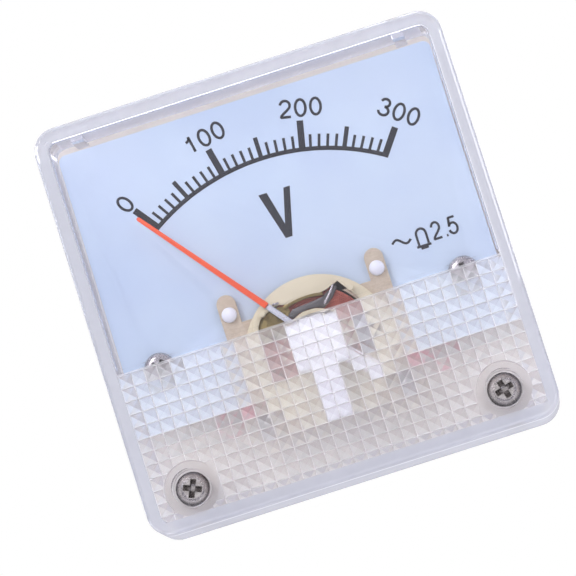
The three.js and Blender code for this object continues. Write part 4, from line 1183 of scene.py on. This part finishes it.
def cross_recess(reach, front_y, depth):
    """The tapered cross that a driver bites in."""
    loops = []
    for share, sunk in ((1.12, -0.2), (0.62, 0.75), (0.2, 1.0)):
        y = front_y + sunk * depth
        long, wide = reach * share, 0.2 * reach + 0.1 * reach * share
        corners = []
        for quarter in range(4):
            a = quarter * math.pi / 2
            along, across = Vector((math.cos(a), math.sin(a))), Vector((-math.sin(a), math.cos(a)))
            for ahead, aside in ((long, -wide), (long, wide), (wide, wide)):
                point = along * ahead + across * aside
                corners.append((point.x, y, point.y))
        loops.append(corners)
    return loft(loops)


def pan_screw(head, rise, shank, pitch, length):
    """A cross-recessed pan head on a threaded shank, its seat at y = 0 and pointing along +Y."""
    dome = [
        (0.3 * head, -rise),
        (0.62 * head, -0.95 * rise),
        (0.86 * head, -0.8 * rise),
        (0.97 * head, -0.58 * rise),
        (head, -0.36 * rise),
        (head, -0.08 * rise),
        (0.96 * head, 0.0),
        (shank, 0.0),
    ]
    loops = [circle(radius, y, SHANK_SIDES) for radius, y in dome]
    loops += thread(shank, pitch, 0.25 * MM, length)
    return carve(loft(loops), cross_recess(0.56 * head, -rise, 0.72 * rise))


# node, height of the head, shank radius and thread pitch in mm
SCREWS = (
    ("cover_screw_left", COVER_HEAD_RISE / MM, 1.5, 0.5),
    ("cover_screw_right", COVER_HEAD_RISE / MM, 1.5, 0.5),
    ("dial_screw_left", 1.5, 1.3, 0.45),
    ("dial_screw_right", 1.5, 1.3, 0.45),
    ("board_screw_left", 1.2, 1.0, 0.4),
    ("board_screw_right", 1.2, 1.0, 0.4),
    ("bridge_screw", 1.0, 0.8, 0.35),
)


class METER_OT_screws(bpy.types.Operator):
    """Makes the cross-recessed screws"""

    bl_idname = "meter.screws"
    bl_label = "Screws"

    def execute(self, context):
        for number, (node, rise, shank, pitch) in enumerate(SCREWS):
            front, back = span(node, 1)
            place = middle(node)
            under_head = back - front - rise * MM
            mesh = pan_screw(half_width(node), rise * MM, shank * MM, pitch * MM, under_head)
            # each screw stopped at a turn of its own
            mesh.transform(Matrix.Rotation(0.4 + 0.9 * number, 4, "Y"))
            from_behind = node == "bridge_screw"
            seat = back - rise * MM if from_behind else front + rise * MM
            if from_behind:
                mesh.transform(Matrix.Rotation(math.pi, 4, "X"))
            mesh.transform(Matrix.Translation((place.x, seat, place.z)))
            piece = place_mesh(node + "_threaded", mesh, FINISHES["nickel"])
            soften(piece, MACHINED_EDGE)
            settle(piece, node)
        return {"FINISHED"}


def chamfered_hex(flats, front_y, back_y):
    """A hexagon whose corners are turned off on both faces."""
    rim, corner = flats / 2, flats / math.sqrt(3)
    slope = (corner - rim) * 0.6
    profile = (
        (0.96 * rim, front_y),
        (corner * 1.02, front_y + slope),
        (corner * 1.02, back_y - slope),
        (0.96 * rim, back_y),
    )
    blank = loft([circle(corner, y, 6) for y in (front_y, back_y)])
    return carve(blank, lathe(profile, 60), "INTERSECT")


def hex_nut(flats, bore, front_y, back_y):
    sink = 0.35 * MM
    hole = (
        (bore + sink, front_y - 0.01 * MM),
        (bore, front_y + sink),
        (bore, back_y - sink),
        (bore + sink, back_y + 0.01 * MM),
    )
    return carve(chamfered_hex(flats, front_y, back_y), lathe(hole, 32))


def washer(inner, outer, front_y, back_y):
    edge = 0.12 * MM
    over = [
        *((inner, front_y + edge), (inner + edge, front_y)),
        *((outer - edge, front_y), (outer, front_y + edge)),
    ]
    under = [(radius, front_y + back_y - y) for radius, y in reversed(over)]
    return lathe(over + under, 56, closed=True)


STUD_SITES = ("upper_left", "upper_right", "lower_left", "lower_right")
M3_FLATS, M3_THREAD, M3_PITCH = 5.5 * MM, 1.5 * MM, 0.5 * MM
M4_FLATS, M4_THREAD, M4_PITCH, M4_HEAD = 7 * MM, 2 * MM, 0.7 * MM, 2.5 * MM
JEWEL_FLATS, JEWEL_BORE = 5 * MM, 1.5 * MM
WASHER_ROOM = 0.1 * MM
NUT_BORE = 0.97  # share of the thread's radius


def hardware(node, make, *sizes):
    """Makes a piece of hardware about the Y axis, as long as its CAD solid, and puts it there."""
    place = middle(node)
    mesh = make(*sizes, *span(node, 1))
    mesh.transform(Matrix.Translation((place.x, 0, place.z)))
    piece = place_mesh(node + "_finished", mesh, FINISHES[NODE_FINISHES[node]])
    soften(piece, MACHINED_EDGE)
    settle(piece, node)


def threaded_stud(radius, pitch, front_y, back_y):
    return loft(thread(radius, pitch, front_y, back_y))


def hex_bolt(flats, front_y, back_y):
    """A terminal's hexagon head, M4_HEAD thick, on its threaded shank."""
    seat = front_y + M4_HEAD
    shank = threaded_stud(M4_THREAD, M4_PITCH, seat - 0.5 * MM, back_y)
    return carve(chamfered_hex(flats, front_y, seat), shank, "UNION")


class METER_OT_mounting(bpy.types.Operator):
    """Makes the mounting studs and the terminals, with their washers and nuts"""

    bl_idname = "meter.mounting"
    bl_label = "Studs, terminals and nuts"

    def execute(self, context):
        for site in STUD_SITES:
            hardware("stud_" + site, threaded_stud, M3_THREAD, M3_PITCH)
            node = "stud_washer_" + site
            hardware(node, washer, M3_THREAD + WASHER_ROOM, half_width(node))
            hardware("stud_nut_" + site, hex_nut, M3_FLATS, NUT_BORE * M3_THREAD)
        for side in ("left", "right"):
            hardware("terminal_stud_" + side, hex_bolt, M4_FLATS)
            node = "terminal_washer_" + side
            hardware(node, washer, M4_THREAD + WASHER_ROOM, half_width(node))
            hardware("terminal_nut_" + side, hex_nut, M4_FLATS, NUT_BORE * M4_THREAD)
        hardware("rear_jewel_nut", hex_nut, JEWEL_FLATS, JEWEL_BORE)
        return {"FINISHED"}


# ------------------------------------------------------------------ coil, hairspring and leads


def coiled(shape, turns, inner, outer, rise, per_turn, width, height=None):
    """A wire wound about Z, from an inner to an outer radius and over a rise."""
    values = {
        "Resolution": per_turn,
        "Rotations": turns,
        "Start Radius": inner,
        "End Radius": outer,
        "Height": rise,
        "Reverse": False,
    }
    return shape.wire(shape.add("GeometryNodeCurveSpiral", values), width, height)


class METER_OT_windings(bpy.types.Operator):
    """Winds the coil and the hairspring and lays the two leads"""

    bl_idname = "meter.windings"
    bl_label = "Coil, hairspring and leads"

    def execute(self, context):
        settings = context.scene.meter_coil
        self.wind_coil(settings)
        self.wind_spring(settings)
        for side in ("left", "right"):
            lead = fine_copy("lead_wire_" + side, "lead_" + side, 0.0, rounds=1)
            lead.data.shade_smooth()
        return {"FINISHED"}

    def wind_coil(self, settings):
        front, back = span("coil_winding", 1)
        outer = half_width("coil_winding")
        shape = Shape(
            "Coil winding",
            wire=settings.wire,
            core=settings.core,
            outer=outer,
            finish=FINISHES["copper_wire"],
        )
        wire = shape["wire"]
        half = shape.times(wire, 0.5)
        layers = shape.math("DIVIDE", shape.minus(shape["outer"], shape["core"]), wire)
        rim = shape.minus(shape["outer"], half)
        face = coiled(shape, layers, shape["core"], rim, 0.0, 48, wire)
        along = back - front - settings.wire
        side = coiled(shape, shape.math("DIVIDE", along, wire), rim, rim, along, 48, wire)
        low, high = front + settings.wire / 2, back - settings.wire / 2
        places = ((face, low), (face, high), (side, low))
        parts = [shape.moved(wound, (0, y, PIVOT.z), (-math.pi / 2, 0, 0)) for wound, y in places]
        parts.append(shape["geometry"])
        # the layers below the outer one, as one sleeve
        within = outer - settings.wire / 2
        section = ((settings.core, low), (within, low), (within, high), (settings.core, high))
        sleeve = lathe(section, 48, closed=True, z=PIVOT.z)
        piece = shape.grow("coil_turns", shape.together(*parts), sleeve)
        soften(piece, 60.0)
        settle(piece, "coil_winding")

    def wind_spring(self, settings):
        front, back = span("hairspring", 1)
        outer = PIVOT.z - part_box("hairspring")[0].z
        shape = Shape(
            "Hairspring",
            turns=float(settings.spring_turns),
            strip=settings.spring_strip,
            tall=back - front - 0.1 * MM,
            finish=FINISHES["bronze"],
        )
        rim = shape.minus(outer, shape["strip"])
        collet = 1.2 * MM
        strip = coiled(shape, shape["turns"], collet, rim, 0.0, 64, shape["strip"], shape["tall"])
        flat = shape.moved(strip, turn=(0, 0, -math.pi / 2))
        stood = shape.moved(flat, (0, (front + back) / 2, PIVOT.z), QUARTER_TURN)
        piece = shape.grow("hairspring_strip", stood)
        soften(piece, 40.0)
        settle(piece, "hairspring")


# ------------------------------------------------------------------ registration


class METER_PT_build(bpy.types.Panel):
    bl_label = "Analog panel meter"
    bl_idname = "METER_PT_build"
    bl_space_type = "VIEW_3D"
    bl_region_type = "UI"
    bl_category = "Meter"

    def draw(self, context):
        for operator in BUILD_ORDER:
            self.layout.operator(operator.bl_idname)


BUILD_ORDER = (
    METER_OT_stage,
    METER_OT_cover,
    METER_OT_dial_print,
    METER_OT_solids,
    METER_OT_window,
    METER_OT_screws,
    METER_OT_mounting,
    METER_OT_windings,
)
SETTINGS = (
    ("meter_cover", CoverSettings),
    ("meter_dial", DialSettings),
    ("meter_coil", CoilSettings),
    ("meter_stage", StageSettings),
)


def register():
    for name, group in SETTINGS:
        bpy.utils.register_class(group)
        setattr(bpy.types.Scene, name, bpy.props.PointerProperty(type=group))
    for cls in (*BUILD_ORDER, METER_PT_build):
        bpy.utils.register_class(cls)


def unregister():
    for cls in (METER_PT_build, *reversed(BUILD_ORDER)):
        bpy.utils.unregister_class(cls)
    for name, group in reversed(SETTINGS):
        delattr(bpy.types.Scene, name)
        bpy.utils.unregister_class(group)


def main():
    register()
    make_finishes()
    for operator in BUILD_ORDER:
        category, name = operator.bl_idname.split(".")
        getattr(getattr(bpy.ops, category), name)()


if __name__ == "__main__":
    main()
